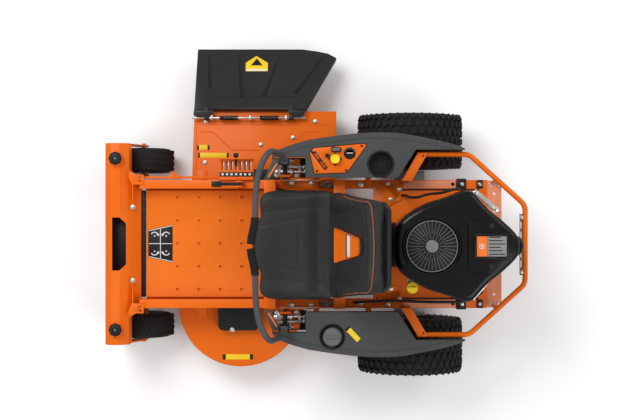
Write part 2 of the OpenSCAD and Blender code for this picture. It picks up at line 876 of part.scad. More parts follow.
module blade(at, turn) {
    color("#5d6063") translate([at[0], at[1], 0]) {
        difference() {
            rotate([0, 0, turn]) block([-blade_r, -32, blade_z], [blade_r, 32, blade_z + 6]);
            difference() {
                translate([0, 0, blade_z - 1]) cylinder(h = 8, r = blade_r + 60);
                translate([0, 0, blade_z - 2]) cylinder(h = 10, r = blade_r);
            }
        }
        translate([0, 0, blade_z + 6]) cylinder(h = housing_top + 26 - blade_z - 6, r = spindle_r);
        translate([0, 0, blade_z + 6]) cylinder(h = 20, r = 26);
        translate([0, 0, blade_z - 14]) cylinder(h = 14, r = 16, $fn = 6);
        translate([0, 0, housing_top + 4]) cylinder(h = 18, r = 66);
    }
}

module blade_right() {
    placed() blade(right_spindle, 35);
}

module blade_left() {
    placed() blade(left_spindle, 35);
}

// ---- Turning parts of the engine ----

module crankshaft() {
    color(steel) placed() {
        translate([crank_x, 0, rail_z - 60]) cylinder(h = engine_top - 14 - rail_z + 60, r = crank_r);
        translate([crank_x, 0, rail_z - 40]) cylinder(h = 62, r = 70);
    }
}

module fan_screen() {
    color("#5a5c5f") placed() translate([crank_x, 0, engine_top - 14]) difference() {
        union() {
            cylinder(h = 8, r = screen_r);
            cylinder(h = 14, r = 26);
        }
        for (a = [0 : 20 : 340]) rotate([0, 0, a])
            block([36, -4, 4], [screen_r - 10, 4, 9]);
    }
}

// ---- Seat ----

seat_plate_t = 8;
seat_z = seat_hinge_z + seat_plate_t + 14;
pan_t = 14;
cushion_z = seat_z + pan_t;
cushion_top = cushion_z + seat_t;
seat_x = -270;
back_foot = seat_x + seat_l - 2;
runner_y = 150;

module seat_plate() {
    color(black) placed() difference() {
        union() {
            block([tube_front + 6, -160, seat_hinge_z + 8], [150, 160, seat_hinge_z + 8 + 6]);
            both_sides() block([seat_x + 66, runner_y - 12, seat_hinge_z + 14], [120, runner_y, seat_z - seated]);
            both_sides() block([tube_front + 14, 148, seat_hinge_z - 9], [tube_front + 36, 160, seat_hinge_z + 8]);
            across(seat_hinge_x, -178, -140, seat_hinge_z, 6);
            across(seat_hinge_x, 140, 178, seat_hinge_z, 6);
            both_sides() block([tube_rear + 10, 90, rail_top + tube_h + seated],
                [tube_rear + 40, 120, seat_hinge_z + 8]);
        }
    }
}

module seat_pan() {
    color(black) placed() {
        block([seat_x + 40, -seat_w / 2 + 30, seat_z], [back_foot + 105, seat_w / 2 - 30, cushion_z]);
        both_sides() block([seat_x + 100, runner_y + seated, seat_z - 7], [60, runner_y + 12, seat_z]);
    }
}

// The space of the seat back, grown at its front by ease
module back_solid(ease) {
    half = seat_w / 2 - 8;
    top = half - 42;
    translate([back_foot + 5, 0, cushion_top]) rotate([0, back_lean, 0]) translate([-ease, 0, -seat_t])
        rotate([0, 90, 0]) linear_extrude(84 + ease) polygon(concat(
            [[10, -half + 20], [0, -half]],
            arc([-back_l + 70, -top + 64], 64, 250, 180, 6), arc([-back_l + 70, top - 64], 64, 180, 110, 6),
            [[0, half], [10, half - 20]]));
}

module seat_cushion() {
    color("#38393a") placed() difference() {
        union() {
            slab(rounded([seat_x, -seat_w / 2], [back_foot + 60, seat_w / 2], 55), cushion_z, cushion_top);
            slab([
                [seat_x + 1, -118], [seat_x + 1, 118], [seat_x - 32, 92], [seat_x - 36, 60],
                [seat_x - 36, -60], [seat_x - 32, -92]
            ], cushion_z + 5, cushion_top);
        }
        translate([0, 0, -60]) back_solid(1);
        back_solid(1);
        block([back_foot + 16, -seat_w, cushion_z - 1], [back_foot + 90, seat_w, cushion_top + 1]);
    }
}

module seat_back() {
    color("#38393a") placed() difference() {
        back_solid(0);
        block([-400, -400, 0], [500, 400, cushion_z]);
    }
}

// ---- Levers and lap bars ----

knuckle_z = console_z + 60;
knuckle = bar_d / 2 + 2;
ears = knuckle + 7;

module lever() {
    color(black) {
        across(lever_x, console_in - 2, lever_y, lever_z, shaft_r);
        block([lever_x - 20, lever_y, lever_z - 22], [lever_x + 20, lever_y + 10, knuckle_z - 22]);
        difference() {
            block([lever_x - ears, lever_y - 10, knuckle_z - 22], [lever_x + ears, lever_y + 19, knuckle_z + 9]);
            block([lever_x - knuckle - seated, lever_y - 11, knuckle_z - 19],
                [lever_x + knuckle + seated, lever_y + 20, knuckle_z + 10]);
        }
        along(lever_x - ears, lever_x + ears, lever_y + 7, knuckle_z, 5);
    }
}

module lever_right() {
    placed() lever();
}

module lever_left() {
    placed() on_side(-1) lever();
}

function bar_line() = [
    [lever_x, lever_y + 14, knuckle_z + 11], [lever_x - 13, lever_y + 36, knuckle_z + 44],
    [lever_x - 50, lever_y + 44, bar_z - 30], [lever_x - 64, lever_y + 32, bar_z - 4],
    [lever_x - 84, lever_y - 4, bar_z], [lever_x - 102, lever_y - 58, bar_z],
    [lever_x - 110, lever_y - 118, bar_z], [lever_x - 115, 112, bar_z]
];
grip_line = [
    [lever_x - 115, 112 - seated, bar_z], [lever_x - 122, 70, bar_z], [lever_x - 130, 34, bar_z],
    [lever_x - 133, 8, bar_z]
];

module lap_bar() {
    color("#6a6c6e") {
        difference() {
            union() {
                along(lever_x - knuckle, lever_x + knuckle, lever_y + 7, knuckle_z, 12);
                block([lever_x - knuckle, lever_y - 4, knuckle_z],
                    [lever_x + knuckle, lever_y + 32, knuckle_z + 15]);
            }
            along(lever_x - ears, lever_x + ears, lever_y + 7, knuckle_z, 5 + fit);
        }
        swept(rounded_line(bar_line(), 28), [1, 0, 0], bar_d / 2, 16);
    }
    color("#2f3031") swept(rounded_line(grip_line, 28), [1, 0, 0], grip_d / 2, 16);
}

module lap_bar_right() {
    placed() lap_bar();
}

module lap_bar_left() {
    placed() on_side(-1) lap_bar();
}

// ---- Small controls ----

module pto_knob() {
    color("#e5c21c") placed() translate([pto_at[0], pto_at[1], 0]) {
        translate([0, 0, console_z - 22]) cylinder(h = 22 + panel_t + 12, r = pto_r);
        translate([0, 0, console_z + panel_t + 12]) cylinder(h = 16, r = 21);
    }
}

module key_knob() {
    color(black) placed() translate([key_at[0], key_at[1], 0]) {
        translate([0, 0, console_z - 22]) cylinder(h = 22 + panel_t + seated, r = key_r);
        translate([0, 0, console_z + panel_t + seated]) cylinder(h = 7, r = 19);
        translate([0, 0, console_z + panel_t + seated + 7]) block([-15, -2.5, 0], [15, 2.5, 14]);
    }
}

module choke_knob() {
    color(black) placed() translate([choke_at[0], choke_at[1], 0]) {
        translate([0, 0, console_z - 30]) cylinder(h = 30 + panel_t + 5, r = choke_r);
        translate([0, 0, console_z + panel_t + 5]) cylinder(h = 12, r = 9);
    }
}

module throttle_lever() {
    color(black) placed() translate([slot_at[0], slot_at[1], 0]) rotate([0, 0, slot_turn]) {
        across(0, -14, 14, throttle_z, 6);
        translate([0, 0, throttle_z]) cylinder(h = 62, r = 3);
        translate([0, 0, throttle_z + 66]) sphere(9);
    }
}

module fuel_cap() {
    color("#5c5e60") placed() on_side(-1) translate([cap_x, cap_y, console_z + 4]) {
        cylinder(h = 20, r = 42);
        translate([0, 0, 20]) block([-30, -5, 0], [30, 5, 8]);
    }
}

module oil_cap() {
    color("#e5c21c") placed() translate([filler[0], filler[1], plate_z + 270]) {
        cylinder(h = 14, r = 23.5);
        translate([0, 0, 14]) block([-16, -4, 0], [16, 4, 8]);
    }
}

module height_pin() {
    color(black) placed() translate([height_x[0] + 18 + 3 * 19, 0, rail_top + 18]) {
        across(0, rail_out + 60, rail_out + 100, 0, pin_r);
        across(0, rail_out + 100, rail_out + 118, 0, 11);
    }
}

module lift_pedal() {
    color(dark) placed() {
        across(pedal_x, rail_y - 16, rail_y + 16, pedal_z, pedal_r);
        block([pedal_x - 122, rail_y - 7, pedal_z - 5], [pedal_x + 8, rail_y + 7, pedal_z + 5]);
        block([pedal_x - 122, rail_y - 13, pedal_z + 5], [pedal_x - 80, rail_y + 13, pedal_z + 9]);
    }
}

frame_rails();
front_beam();
foot_platform();
cross_members();
rear_crossmember();
bumper_hoop();
bumper_straps();
step_plate();
fender_right();
fender_left();
console_brackets();
control_panel();
hour_meter();
engine_block();
cylinders();
blower_shroud();
air_cleaner_cover();
muffler();
battery();
transaxles();
fuel_tank();
height_bracket();
fasteners();
cables();
fork_right();
fork_left();
caster_tyre_right();
caster_tyre_left();
caster_rim_right();
caster_rim_left();
rear_tyre_right();
rear_tyre_left();
rear_rim_right();
rear_rim_left();
deck_top();
deck_skirt();
deck_fittings();
deck_covers();
chute_hinge();
blade_right();
blade_left();
crankshaft();
fan_screen();
chute();
seat_plate();
seat_pan();
seat_cushion();
seat_back();
lever_right();
lever_left();
lap_bar_right();
lap_bar_left();
pto_knob();
key_knob();
choke_knob();
throttle_lever();
fuel_cap();
oil_cap();
height_pin();
lift_pedal();
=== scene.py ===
import json
import math

import bpy
import numpy as np
from mathutils import Matrix, Vector


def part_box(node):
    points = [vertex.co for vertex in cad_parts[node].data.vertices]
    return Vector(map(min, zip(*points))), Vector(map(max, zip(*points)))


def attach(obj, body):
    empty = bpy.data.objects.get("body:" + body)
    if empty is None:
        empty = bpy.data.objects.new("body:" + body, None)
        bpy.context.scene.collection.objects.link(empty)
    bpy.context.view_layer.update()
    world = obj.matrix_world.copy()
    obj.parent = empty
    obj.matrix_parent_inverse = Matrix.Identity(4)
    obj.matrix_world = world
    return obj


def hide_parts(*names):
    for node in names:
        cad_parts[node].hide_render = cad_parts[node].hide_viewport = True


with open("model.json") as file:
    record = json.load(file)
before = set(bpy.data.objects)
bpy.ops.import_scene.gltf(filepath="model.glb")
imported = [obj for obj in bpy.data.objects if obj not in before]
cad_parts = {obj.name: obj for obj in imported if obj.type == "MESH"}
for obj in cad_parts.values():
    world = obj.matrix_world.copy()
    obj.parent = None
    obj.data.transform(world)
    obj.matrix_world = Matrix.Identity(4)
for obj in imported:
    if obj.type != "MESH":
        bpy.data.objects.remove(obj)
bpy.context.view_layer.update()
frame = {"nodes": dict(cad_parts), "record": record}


MM = 0.001

# The machine's datum lies on the centreline under the seat, crank_x ahead of the crankshaft.
screen_low, screen_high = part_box("fan_screen")
platform_low, platform_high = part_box("foot_platform")
crank_x = 463
datum_x = (screen_low.x + screen_high.x) / 2 - crank_x * MM
datum_y = (platform_low.y + platform_high.y) / 2
rail_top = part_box("frame_rails")[1].z / MM
console_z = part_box("fender_right")[1].z / MM
panel_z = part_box("control_panel")[1].z / MM
deck_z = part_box("deck_top")[1].z / MM
floor_z = platform_low.z / MM + 4
shroud_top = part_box("blower_shroud")[1].z / MM
bar_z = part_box("lap_bar_right")[1].z / MM - 17


def spot(x, y, z):
    """A point given in millimetres from the machine's datum, in the frame's metres."""
    return Vector((datum_x + x * MM, datum_y + y * MM, z * MM))


def back_to_mm(at):
    """A point of the frame in millimetres from the machine's datum."""
    return (at.x - datum_x) / MM, (at.y - datum_y) / MM, at.z / MM


def centre(node):
    """The middle of a CAD node from above, in millimetres from the machine's datum."""
    low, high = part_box(node)
    return back_to_mm((low + high) / 2)[:2]


# ---- Camera, light and floor ----

bpy.ops.object.camera_add(location=spot(0, 150, 6300), rotation=(0, 0, 0))
camera = bpy.context.object
camera.data.lens = 75
camera.data.sensor_width = 36
camera.data.clip_end = 60
bpy.context.scene.camera = camera


def lamp(name, at, size, power):
    bpy.ops.object.light_add(type="AREA", location=at)
    light = bpy.context.object
    light.name = name
    light.data.size = size
    light.data.energy = power
    aim = Vector((0, 0, 0.4)) - Vector(at)
    light.rotation_mode = "QUATERNION"
    light.rotation_quaternion = aim.to_track_quat("-Z", "Y")


lamp("key_lamp", (-2.0, 2.4, 4.8), 2.4, 140)
lamp("fill_lamp", (2.8, -2.4, 4.4), 3.0, 62)
lamp("rear_lamp", (3.6, 2.2, 3.2), 2.4, 34)
lamp("front_lamp", (-3.8, -1.6, 2.6), 2.4, 28)


# ---- Shader maths ----

class Value:
    """A shader socket that sums are written on."""

    def __init__(self, finish, socket):
        self.finish = finish
        self.socket = socket

    def sum(self, kind, first, second=0.0):
        return self.finish.node("Math", {"operation": kind}, {0: first, 1: second})

    def __add__(self, other):
        return self.sum("ADD", self, other)

    def __radd__(self, other):
        return self.sum("ADD", other, self)

    def __sub__(self, other):
        return self.sum("SUBTRACT", self, other)

    def __rsub__(self, other):
        return self.sum("SUBTRACT", other, self)

    def __mul__(self, other):
        return self.sum("MULTIPLY", self, other)

    def __rmul__(self, other):
        return self.sum("MULTIPLY", other, self)

    def __pow__(self, other):
        return self.sum("POWER", self, other)

    def above(self, level):
        return self.sum("GREATER_THAN", self, level)


class Finish:
    """One procedural material, built node by node."""

    def __init__(self, name, **fixed):
        self.material = bpy.data.materials.new(name)
        self.material.use_nodes = True
        self.tree = self.material.node_tree
        self.shader = self.tree.nodes["Principled BSDF"]
        for socket, value in fixed.items():
            self.set(socket.replace("_", " "), value)
        self.place = self.node("TexCoord", {}, {}, "Object")

    def node(self, kind, settings, sockets, out=0):
        made = self.tree.nodes.new("ShaderNode" + kind)
        for key, value in settings.items():
            if key == "stops":
                for stop, (at, colour) in zip(made.color_ramp.elements, value):
                    stop.position = at
                    stop.color = colour
            else:
                setattr(made, key, value)
        for key, value in sockets.items():
            self.join(made.inputs[key], value)
        return Value(self, made.outputs[out])

    def join(self, socket, value):
        if isinstance(value, Value):
            self.tree.links.new(value.socket, socket)
        else:
            socket.default_value = value

    def set(self, socket, value):
        if isinstance(value, tuple) and len(value) == 3:
            value = (*value, 1.0)
        self.join(self.shader.inputs[socket], value)

    def noise(self, scale, detail=3.0, rough=0.5):
        return self.node("TexNoise", {}, {"Vector": self.place, "Scale": scale, "Detail": detail,
            "Roughness": rough})

    def cells(self, scale, feature="F1"):
        return self.node("TexVoronoi", {"feature": feature}, {"Vector": self.place, "Scale": scale})

    def blend(self, low, high, amount):
        ends = [tone if isinstance(tone, Value) else (*tone, 1.0) for tone in (low, high)]
        return self.node("Mix", {"data_type": "RGBA"}, {0: amount, 6: ends[0], 7: ends[1]}, 2)

    def bump(self, height, depth, strength=1.0):
        normal = self.node("Bump", {}, {"Height": height, "Distance": depth, "Strength": strength})
        self.set("Normal", normal)

    def tint(self, low, high, scale, detail=4.0):
        """Colour that drifts between two tones over the surface."""
        tone = self.blend(low, high, self.noise(scale, detail))
        self.set("Base Color", tone)
        return tone


def paint(name, low, high, rough, coat=0.0):
    """Sprayed paint: a faint drift in tone, and the fine ripple of a powder coat."""
    made = Finish(name, Coat_Weight=coat, Coat_Roughness=0.12, Specular_IOR_Level=0.18)
    made.tint(low, high, 5.0)
    grime = made.noise(38.0, 5.0)
    made.set("Roughness", rough + (grime - 0.5) * 0.22)
    made.bump(made.noise(420.0, 2.0), 0.0004, 0.12)
    return made


def moulded(name, low, high, rough, grain=900.0, depth=0.0003):
    """Moulded plastic: fine grain, and scuffs that change its gloss."""
    made = Finish(name, Specular_IOR_Level=0.28)
    made.tint(low, high, 9.0)
    made.set("Roughness", rough + (made.noise(26.0, 6.0) - 0.5) * 0.25)
    made.bump(made.cells(grain) + made.noise(grain * 0.4) * 0.5, depth, 0.4)
    return made


def metal(name, low, high, rough, scale=60.0, depth=0.0002):
    made = Finish(name, Metallic=1.0)
    made.tint(low, high, scale * 0.3)
    made.set("Roughness", rough + (made.noise(scale, 6.0) - 0.5) * 0.3)
    made.bump(made.noise(scale * 9.0, 3.0), depth, 0.3)
    return made


orange = paint("orange_paint", (0.78, 0.130, 0.003), (0.86, 0.158, 0.004), 0.42, 0.04)
orange_floor = paint("floor_paint", (0.80, 0.155, 0.006), (0.88, 0.185, 0.009), 0.5, 0.02)
pale_orange = paint("pale_orange", (0.80, 0.27, 0.13), (0.86, 0.33, 0.18), 0.4, 0.1)
dimple_shade = paint("dimple_shade", (0.30, 0.045, 0.004), (0.42, 0.07, 0.008), 0.5)
console_grey = moulded("console_plastic", (0.050, 0.052, 0.053), (0.066, 0.068, 0.069), 0.5)
chute_black = moulded("chute_plastic", (0.014, 0.014, 0.015), (0.022, 0.022, 0.023), 0.42)
black_plastic = moulded("black_plastic", (0.007, 0.007, 0.008), (0.013, 0.013, 0.014), 0.42)
grey_plastic = moulded("grey_plastic", (0.10, 0.105, 0.11), (0.15, 0.155, 0.16), 0.5)
engine_black = paint("engine_black", (0.0025, 0.0025, 0.003), (0.005, 0.005, 0.006), 0.2, 0.15)
satin_black = paint("satin_black", (0.010, 0.010, 0.011), (0.018, 0.018, 0.019), 0.4)
bar_grey = paint("bar_grey", (0.062, 0.064, 0.066), (0.082, 0.084, 0.086), 0.4, 0.05)
rim_silver = paint("rim_silver", (0.42, 0.43, 0.44), (0.52, 0.53, 0.54), 0.34, 0.2)
steel = metal("zinc_steel", (0.48, 0.48, 0.47), (0.66, 0.66, 0.64), 0.34)
bright_steel = metal("heat_shield", (0.66, 0.66, 0.66), (0.86, 0.86, 0.86), 0.22, 90.0)
cast = metal("cast_alloy", (0.34, 0.34, 0.34), (0.48, 0.48, 0.47), 0.5, 40.0, 0.0005)
blade_steel = metal("blade_steel", (0.16, 0.16, 0.16), (0.28, 0.27, 0.26), 0.45, 30.0)
copper = metal("copper_bar", (0.62, 0.30, 0.20), (0.72, 0.40, 0.28), 0.35)
yellow = moulded("yellow_plastic", (0.88, 0.62, 0.01), (0.95, 0.70, 0.02), 0.35, 600.0, 0.0001)
decal_yellow = moulded("decal_yellow", (0.86, 0.58, 0.01), (0.92, 0.66, 0.02), 0.4, 500.0, 0.00002)
decal_black = moulded("decal_black", (0.005, 0.005, 0.005), (0.009, 0.009, 0.009), 0.5, 500.0, 0.00005)
decal_white = moulded("decal_white", (0.74, 0.74, 0.73), (0.82, 0.82, 0.81), 0.45, 500.0, 0.00002)
decal_orange = moulded("decal_orange", (0.84, 0.17, 0.02), (0.90, 0.21, 0.03), 0.4, 500.0, 0.00002)
label_grey = moulded("label_grey", (0.22, 0.22, 0.22), (0.28, 0.28, 0.28), 0.4, 500.0, 0.00002)
screen_grey = moulded("screen_grey", (0.15, 0.152, 0.155), (0.21, 0.212, 0.215), 0.4, 700.0, 0.0001)
piping = moulded("piping", (0.30, 0.08, 0.03), (0.38, 0.11, 0.04), 0.6, 900.0, 0.0001)

rubber = Finish("tyre_rubber", Specular_IOR_Level=0.25)
rubber.tint((0.009, 0.009, 0.009), (0.019, 0.0185, 0.018), 14.0, 6.0)
rubber.set("Roughness", 0.74 + (rubber.noise(60.0, 5.0) - 0.5) * 0.3)
rubber.bump(rubber.noise(700.0, 4.0), 0.0004, 0.5)

foam = Finish("grip_foam", Specular_IOR_Level=0.15)
foam.tint((0.011, 0.011, 0.0115), (0.018, 0.018, 0.0185), 30.0)
foam.set("Roughness", 0.86)
foam.bump(foam.cells(1400.0) + foam.noise(900.0), 0.0006, 0.5)

vinyl = Finish("seat_vinyl", Specular_IOR_Level=0.3)
vinyl_tone = vinyl.tint((0.017, 0.0175, 0.018), (0.025, 0.0255, 0.0265), 7.0, 5.0)
grain = vinyl.cells(620.0, "DISTANCE_TO_EDGE") ** 0.5
rim_mask = vinyl.node("Attribute", {"attribute_name": "rim"}, {}, "Fac")
vinyl.set("Base Color", vinyl.blend(vinyl_tone, (0.062, 0.064, 0.066), rim_mask))
vinyl.set("Roughness", 0.50 + (vinyl.noise(24.0, 6.0) - 0.5) * 0.2)
vinyl.bump(grain + vinyl.noise(300.0) * 0.4, 0.0007, 0.55)

worn = Finish("worn_step")
rust = worn.noise(46.0, 8.0, 0.65).above(0.52)
worn.set("Base Color", worn.blend((0.13, 0.055, 0.028), (0.27, 0.17, 0.12), rust))
worn.set("Roughness", 0.55 + rust * 0.2)
worn.bump(worn.noise(200.0, 6.0), 0.0006, 0.6)


def lit_stage(name, colour, seen):
    """A floor that the camera sees paler than it is, with its shadow kept."""
    made = Finish(name, Roughness=1.0, Specular_IOR_Level=0.0)
    path = made.node("LightPath", {}, {}, "Is Camera Ray")
    made.set("Base Color", made.blend(colour, seen, path))
    return made


bpy.ops.mesh.primitive_plane_add(size=60, location=(0, 0, 0))
floor = bpy.context.object
floor.name = "studio_floor"
floor.data.materials.append(lit_stage("studio_floor", (0.55, 0.58, 0.60), (1.1, 1.1, 1.1)).material)

world = bpy.data.worlds.new("studio")
bpy.context.scene.world = world
world.use_nodes = True
world.node_tree.nodes["Background"].inputs["Color"].default_value = (1, 1, 1, 1)
world.node_tree.nodes["Background"].inputs["Strength"].default_value = 0.5
bpy.context.scene.view_settings.view_transform = "Standard"


# ---- Modelling helpers ----

def only(*objects):
    """Leaves just these selected, with the first active."""
    if bpy.context.mode != "OBJECT":
        bpy.ops.object.mode_set(mode="OBJECT")
    bpy.ops.object.select_all(action="DESELECT")
    for piece in objects:
        piece.select_set(True)
    bpy.context.view_layer.objects.active = objects[0]


def applied(piece, kind, **settings):
    """Adds a modifier with these settings and applies it."""
    modifier = piece.modifiers.new(kind.lower(), kind)
    for key, value in settings.items():
        setattr(modifier, key, value)
    only(piece)
    bpy.ops.object.modifier_apply(modifier=modifier.name)
    return piece


def rounded_edges(piece, width, segments=2, angle=32):
    if width:
        applied(piece, "BEVEL", width=width * MM, segments=segments, limit_method="ANGLE",
            angle_limit=math.radians(angle))
    only(piece)
    bpy.ops.object.shade_smooth_by_angle(angle=math.radians(38))
    return piece


def dressed(piece, name, finish, body="chassis"):
    """Names a piece, or a list joined into one, and gives it its material, body and place."""
    piece = joined(piece) if isinstance(piece, list) else piece
    only(piece)
    bpy.ops.object.transform_apply(location=True, rotation=True, scale=True)
    piece.name = name
    piece.data.materials.clear()
    piece.data.materials.append(finish.material)
    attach(piece, body)
    return piece


def cleaned(piece):
    only(piece)
    bpy.ops.object.mode_set(mode="EDIT")
    bpy.ops.mesh.select_all(action="SELECT")
    bpy.ops.mesh.remove_doubles(threshold=0.00002)
    bpy.ops.mesh.normals_make_consistent(inside=False)
    bpy.ops.object.mode_set(mode="OBJECT")
    return piece


def block(low, high, edge=1.2, segments=2):
    """A box between two points in millimetres from the datum."""
    a = spot(*[min(pair) for pair in zip(low, high)])
    b = spot(*[max(pair) for pair in zip(low, high)])
    bpy.ops.mesh.primitive_cube_add(size=1, location=(a + b) / 2)
    piece = bpy.context.object
    piece.scale = b - a
    only(piece)
    bpy.ops.object.transform_apply(location=True, rotation=True, scale=True)
    return rounded_edges(piece, edge, segments)


def rod(start, end, r, edge=1.0, sides=32, r_end=None):
    """A round bar or cone between two points in millimetres from the datum."""
    a, b = spot(*start), spot(*end)
    bpy.ops.mesh.primitive_cone_add(vertices=sides, radius1=r * MM,
        radius2=(r if r_end is None else r_end) * MM, depth=(b - a).length, location=(a + b) / 2)
    piece = bpy.context.object
    piece.rotation_mode = "QUATERNION"
    piece.rotation_quaternion = (b - a).to_track_quat("Z", "Y")
    only(piece)
    bpy.ops.object.transform_apply(location=True, rotation=True, scale=True)
    return rounded_edges(piece, edge)


def ball(at, r, squash=1.0):
    bpy.ops.mesh.primitive_uv_sphere_add(segments=28, ring_count=16, radius=r * MM, location=spot(*at))
    piece = bpy.context.object
    piece.scale = (1, 1, squash)
    only(piece)
    bpy.ops.object.transform_apply(location=True, rotation=True, scale=True)
    return rounded_edges(piece, 0)


def ring(at, r, thick, sides=48):
    bpy.ops.mesh.primitive_torus_add(major_radius=r * MM, minor_radius=thick * MM, major_segments=sides,
        minor_segments=14, location=spot(*at))
    return rounded_edges(bpy.context.object, 0)


def slab(outline, low, high, edge=1.0, segments=2):
    """A plate with this outline in millimetres, from height low to high."""
    bpy.ops.mesh.primitive_circle_add(vertices=len(outline), fill_type="NGON", location=(0, 0, 0))
    piece = bpy.context.object
    for vertex, (x, y) in zip(piece.data.vertices, outline):
        vertex.co = spot(x, y, low)
    bpy.ops.object.mode_set(mode="EDIT")
    bpy.ops.mesh.select_all(action="SELECT")
    bpy.ops.mesh.extrude_region_move(TRANSFORM_OT_translate={"value": (0, 0, (high - low) * MM)})
    bpy.ops.object.mode_set(mode="OBJECT")
    return rounded_edges(cleaned(piece), edge, segments)


def turned(at, profile, sides=64, axis=(0, 0, 1)):
    """A lathe shape: profile is radius and distance along the axis, in millimetres."""
    bpy.ops.mesh.primitive_circle_add(vertices=len(profile), fill_type="NOTHING", location=(0, 0, 0))
    piece = bpy.context.object
    for vertex, (r, along) in zip(piece.data.vertices, profile):
        vertex.co = (r * MM, 0, along * MM)
    bpy.ops.object.mode_set(mode="EDIT")
    bpy.ops.mesh.select_all(action="SELECT")
    bpy.ops.mesh.spin(steps=sides, angle=math.tau, center=(0, 0, 0), axis=(0, 0, 1))
    bpy.ops.object.mode_set(mode="OBJECT")
    piece.location = spot(*at)
    piece.rotation_mode = "QUATERNION"
    piece.rotation_quaternion = Vector(axis).to_track_quat("Z", "Y")
    only(piece)
    bpy.ops.object.transform_apply(location=True, rotation=True, scale=True)
    return rounded_edges(cleaned(piece), 0)


def tube(points, r, closed=False, steps=6, bend="AUTO"):
    """A smooth hose or bar through points in millimetres from the datum."""
    bpy.ops.curve.primitive_bezier_curve_add(location=(0, 0, 0))
    line = bpy.context.object.data
    line.splines.clear()
    line.bevel_depth = r * MM
    line.bevel_resolution = 5
    line.resolution_u = steps
    line.use_fill_caps = not closed
    spline = line.splines.new("BEZIER")
    spline.bezier_points.add(len(points) - 1)
    spline.use_cyclic_u = closed
    for knot, at in zip(spline.bezier_points, points):
        knot.co = spot(*at)
        knot.handle_left_type = knot.handle_right_type = bend
    only(bpy.context.object)
    bpy.ops.object.convert(target="MESH")
    return rounded_edges(cleaned(bpy.context.object), 0)


def twin(piece, place):
    """A copy of a piece with its own mesh, moved by a matrix."""
    other = piece.copy()
    other.data = piece.data.copy()
    other.data.transform(place)
    bpy.context.scene.collection.objects.link(other)
    return other


def joined(pieces):
    only(*pieces)
    if len(pieces) > 1:
        bpy.ops.object.join()
    return bpy.context.object


def cut(piece, cutters):
    """Cuts shapes out of a piece."""
    for cutter in cutters:
        applied(piece, "BOOLEAN", operation="DIFFERENCE", solver="EXACT", object=cutter)
        bpy.data.objects.remove(cutter)
    return piece


def copied(node):
    """A merged copy of a CAD node's mesh, with its flat faces whole again."""
    source = frame["nodes"][node]
    piece = bpy.data.objects.new(node + "_copy", source.data.copy())
    bpy.context.scene.collection.objects.link(piece)
    only(piece)
    bpy.ops.object.mode_set(mode="EDIT")
    bpy.ops.mesh.select_all(action="SELECT")
    bpy.ops.mesh.remove_doubles(threshold=0.00001)
    bpy.ops.mesh.dissolve_limited(angle_limit=math.radians(0.5))
    bpy.ops.object.mode_set(mode="OBJECT")
    return piece


node_body = {n: b for b, ns in frame["record"]["behaviour"]["bodies"].items() for n in ns}


def soften(node, finish, edge=1.2, segments=2):
    """Stands a rounded copy in for a CAD node."""
    piece = rounded_edges(copied(node), edge, segments)
    dressed(piece, node + "_made", finish, node_body[node])
    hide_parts(node)
    return piece


def screw(at, r=7, h=5, axis="z"):
    """A hexagonal bolt head with its washer."""
    x, y, z = at
    if axis == "z":
        head = rod((x, y, z + 1), (x, y, z + h), r, 0.6, 6)
        washer = rod((x, y, z), (x, y, z + 1.4), r * 1.35, 0.3)
    else:
        head = rod((x - 1, y, z), (x - h, y, z), r, 0.6, 6)
        washer = rod((x, y, z), (x - 1.4, y, z), r * 1.35, 0.3)
    return [head, washer]


def screws(name, places, r=7, h=5, body="chassis", axis="z"):
    made = [part for at in places for part in screw(at, r, h, axis=axis)]
    dressed(made, name, steel, body)


def ribs_round(x, y, r, low, high, thick, edge, sides):
    """Eight upright ribs round an axis."""
    turns = [math.tau * k / 8 for k in range(8)]
    return [rod((x + r * math.cos(t), y + r * math.sin(t), low),
        (x + r * math.cos(t), y + r * math.sin(t), high), thick, edge, sides) for t in turns]


def both(places):
    """The same points on both sides of the centreline."""
    return [(x, s * y, z) for x, y, z in places for s in (1, -1)]


# ---- Frame ----

soften("rear_crossmember", pale_orange)
for node in ("frame_rails", "cross_members", "bumper_straps", "console_brackets",
             "height_bracket", "fork_right", "fork_left", "control_panel"):
    soften(node, orange)
soften("front_beam", orange, 2.5, 3)
soften("bumper_hoop", orange, 0)
soften("deck_top", orange, 1.5)
soften("deck_skirt", orange, 1.0)
soften("step_plate", worn, 0.8)
soften("foot_platform", orange_floor, 1.5)

places = [(-637 + 95 * column, 206 - 102 * row, floor_z) for column in range(4) for row in range(5)]
dome = [(0, -1), (0, 3.0), (5, 2.7), (9, 1.8), (12, -0.1), (12, -1)]
dressed([turned(at, dome, 24) for at in places], "platform_dimples", orange_floor)
pit = [(0, 1), (0, 3.3), (3.6, 3.4), (5.4, 3.0), (5.4, 1)]
dressed([turned(at, pit, 20) for at in places], "platform_dimple_shade", dimple_shade)

strip_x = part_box("front_beam")[1].x / MM - datum_x / MM
dressed(block((strip_x + 1, -238, floor_z - 6), (strip_x + 21, 238, floor_z + 4), 2), "toe_strip",
    decal_black, "chassis")
lip = []
for i in range(27):
    y = -208 + 16 * i
    lip.append(block((strip_x + 3, y - 2, floor_z + 4), (strip_x + 19, y + 2, floor_z + 6), 0.4))
dressed(lip, "toe_strip_ribs", decal_black, "chassis")

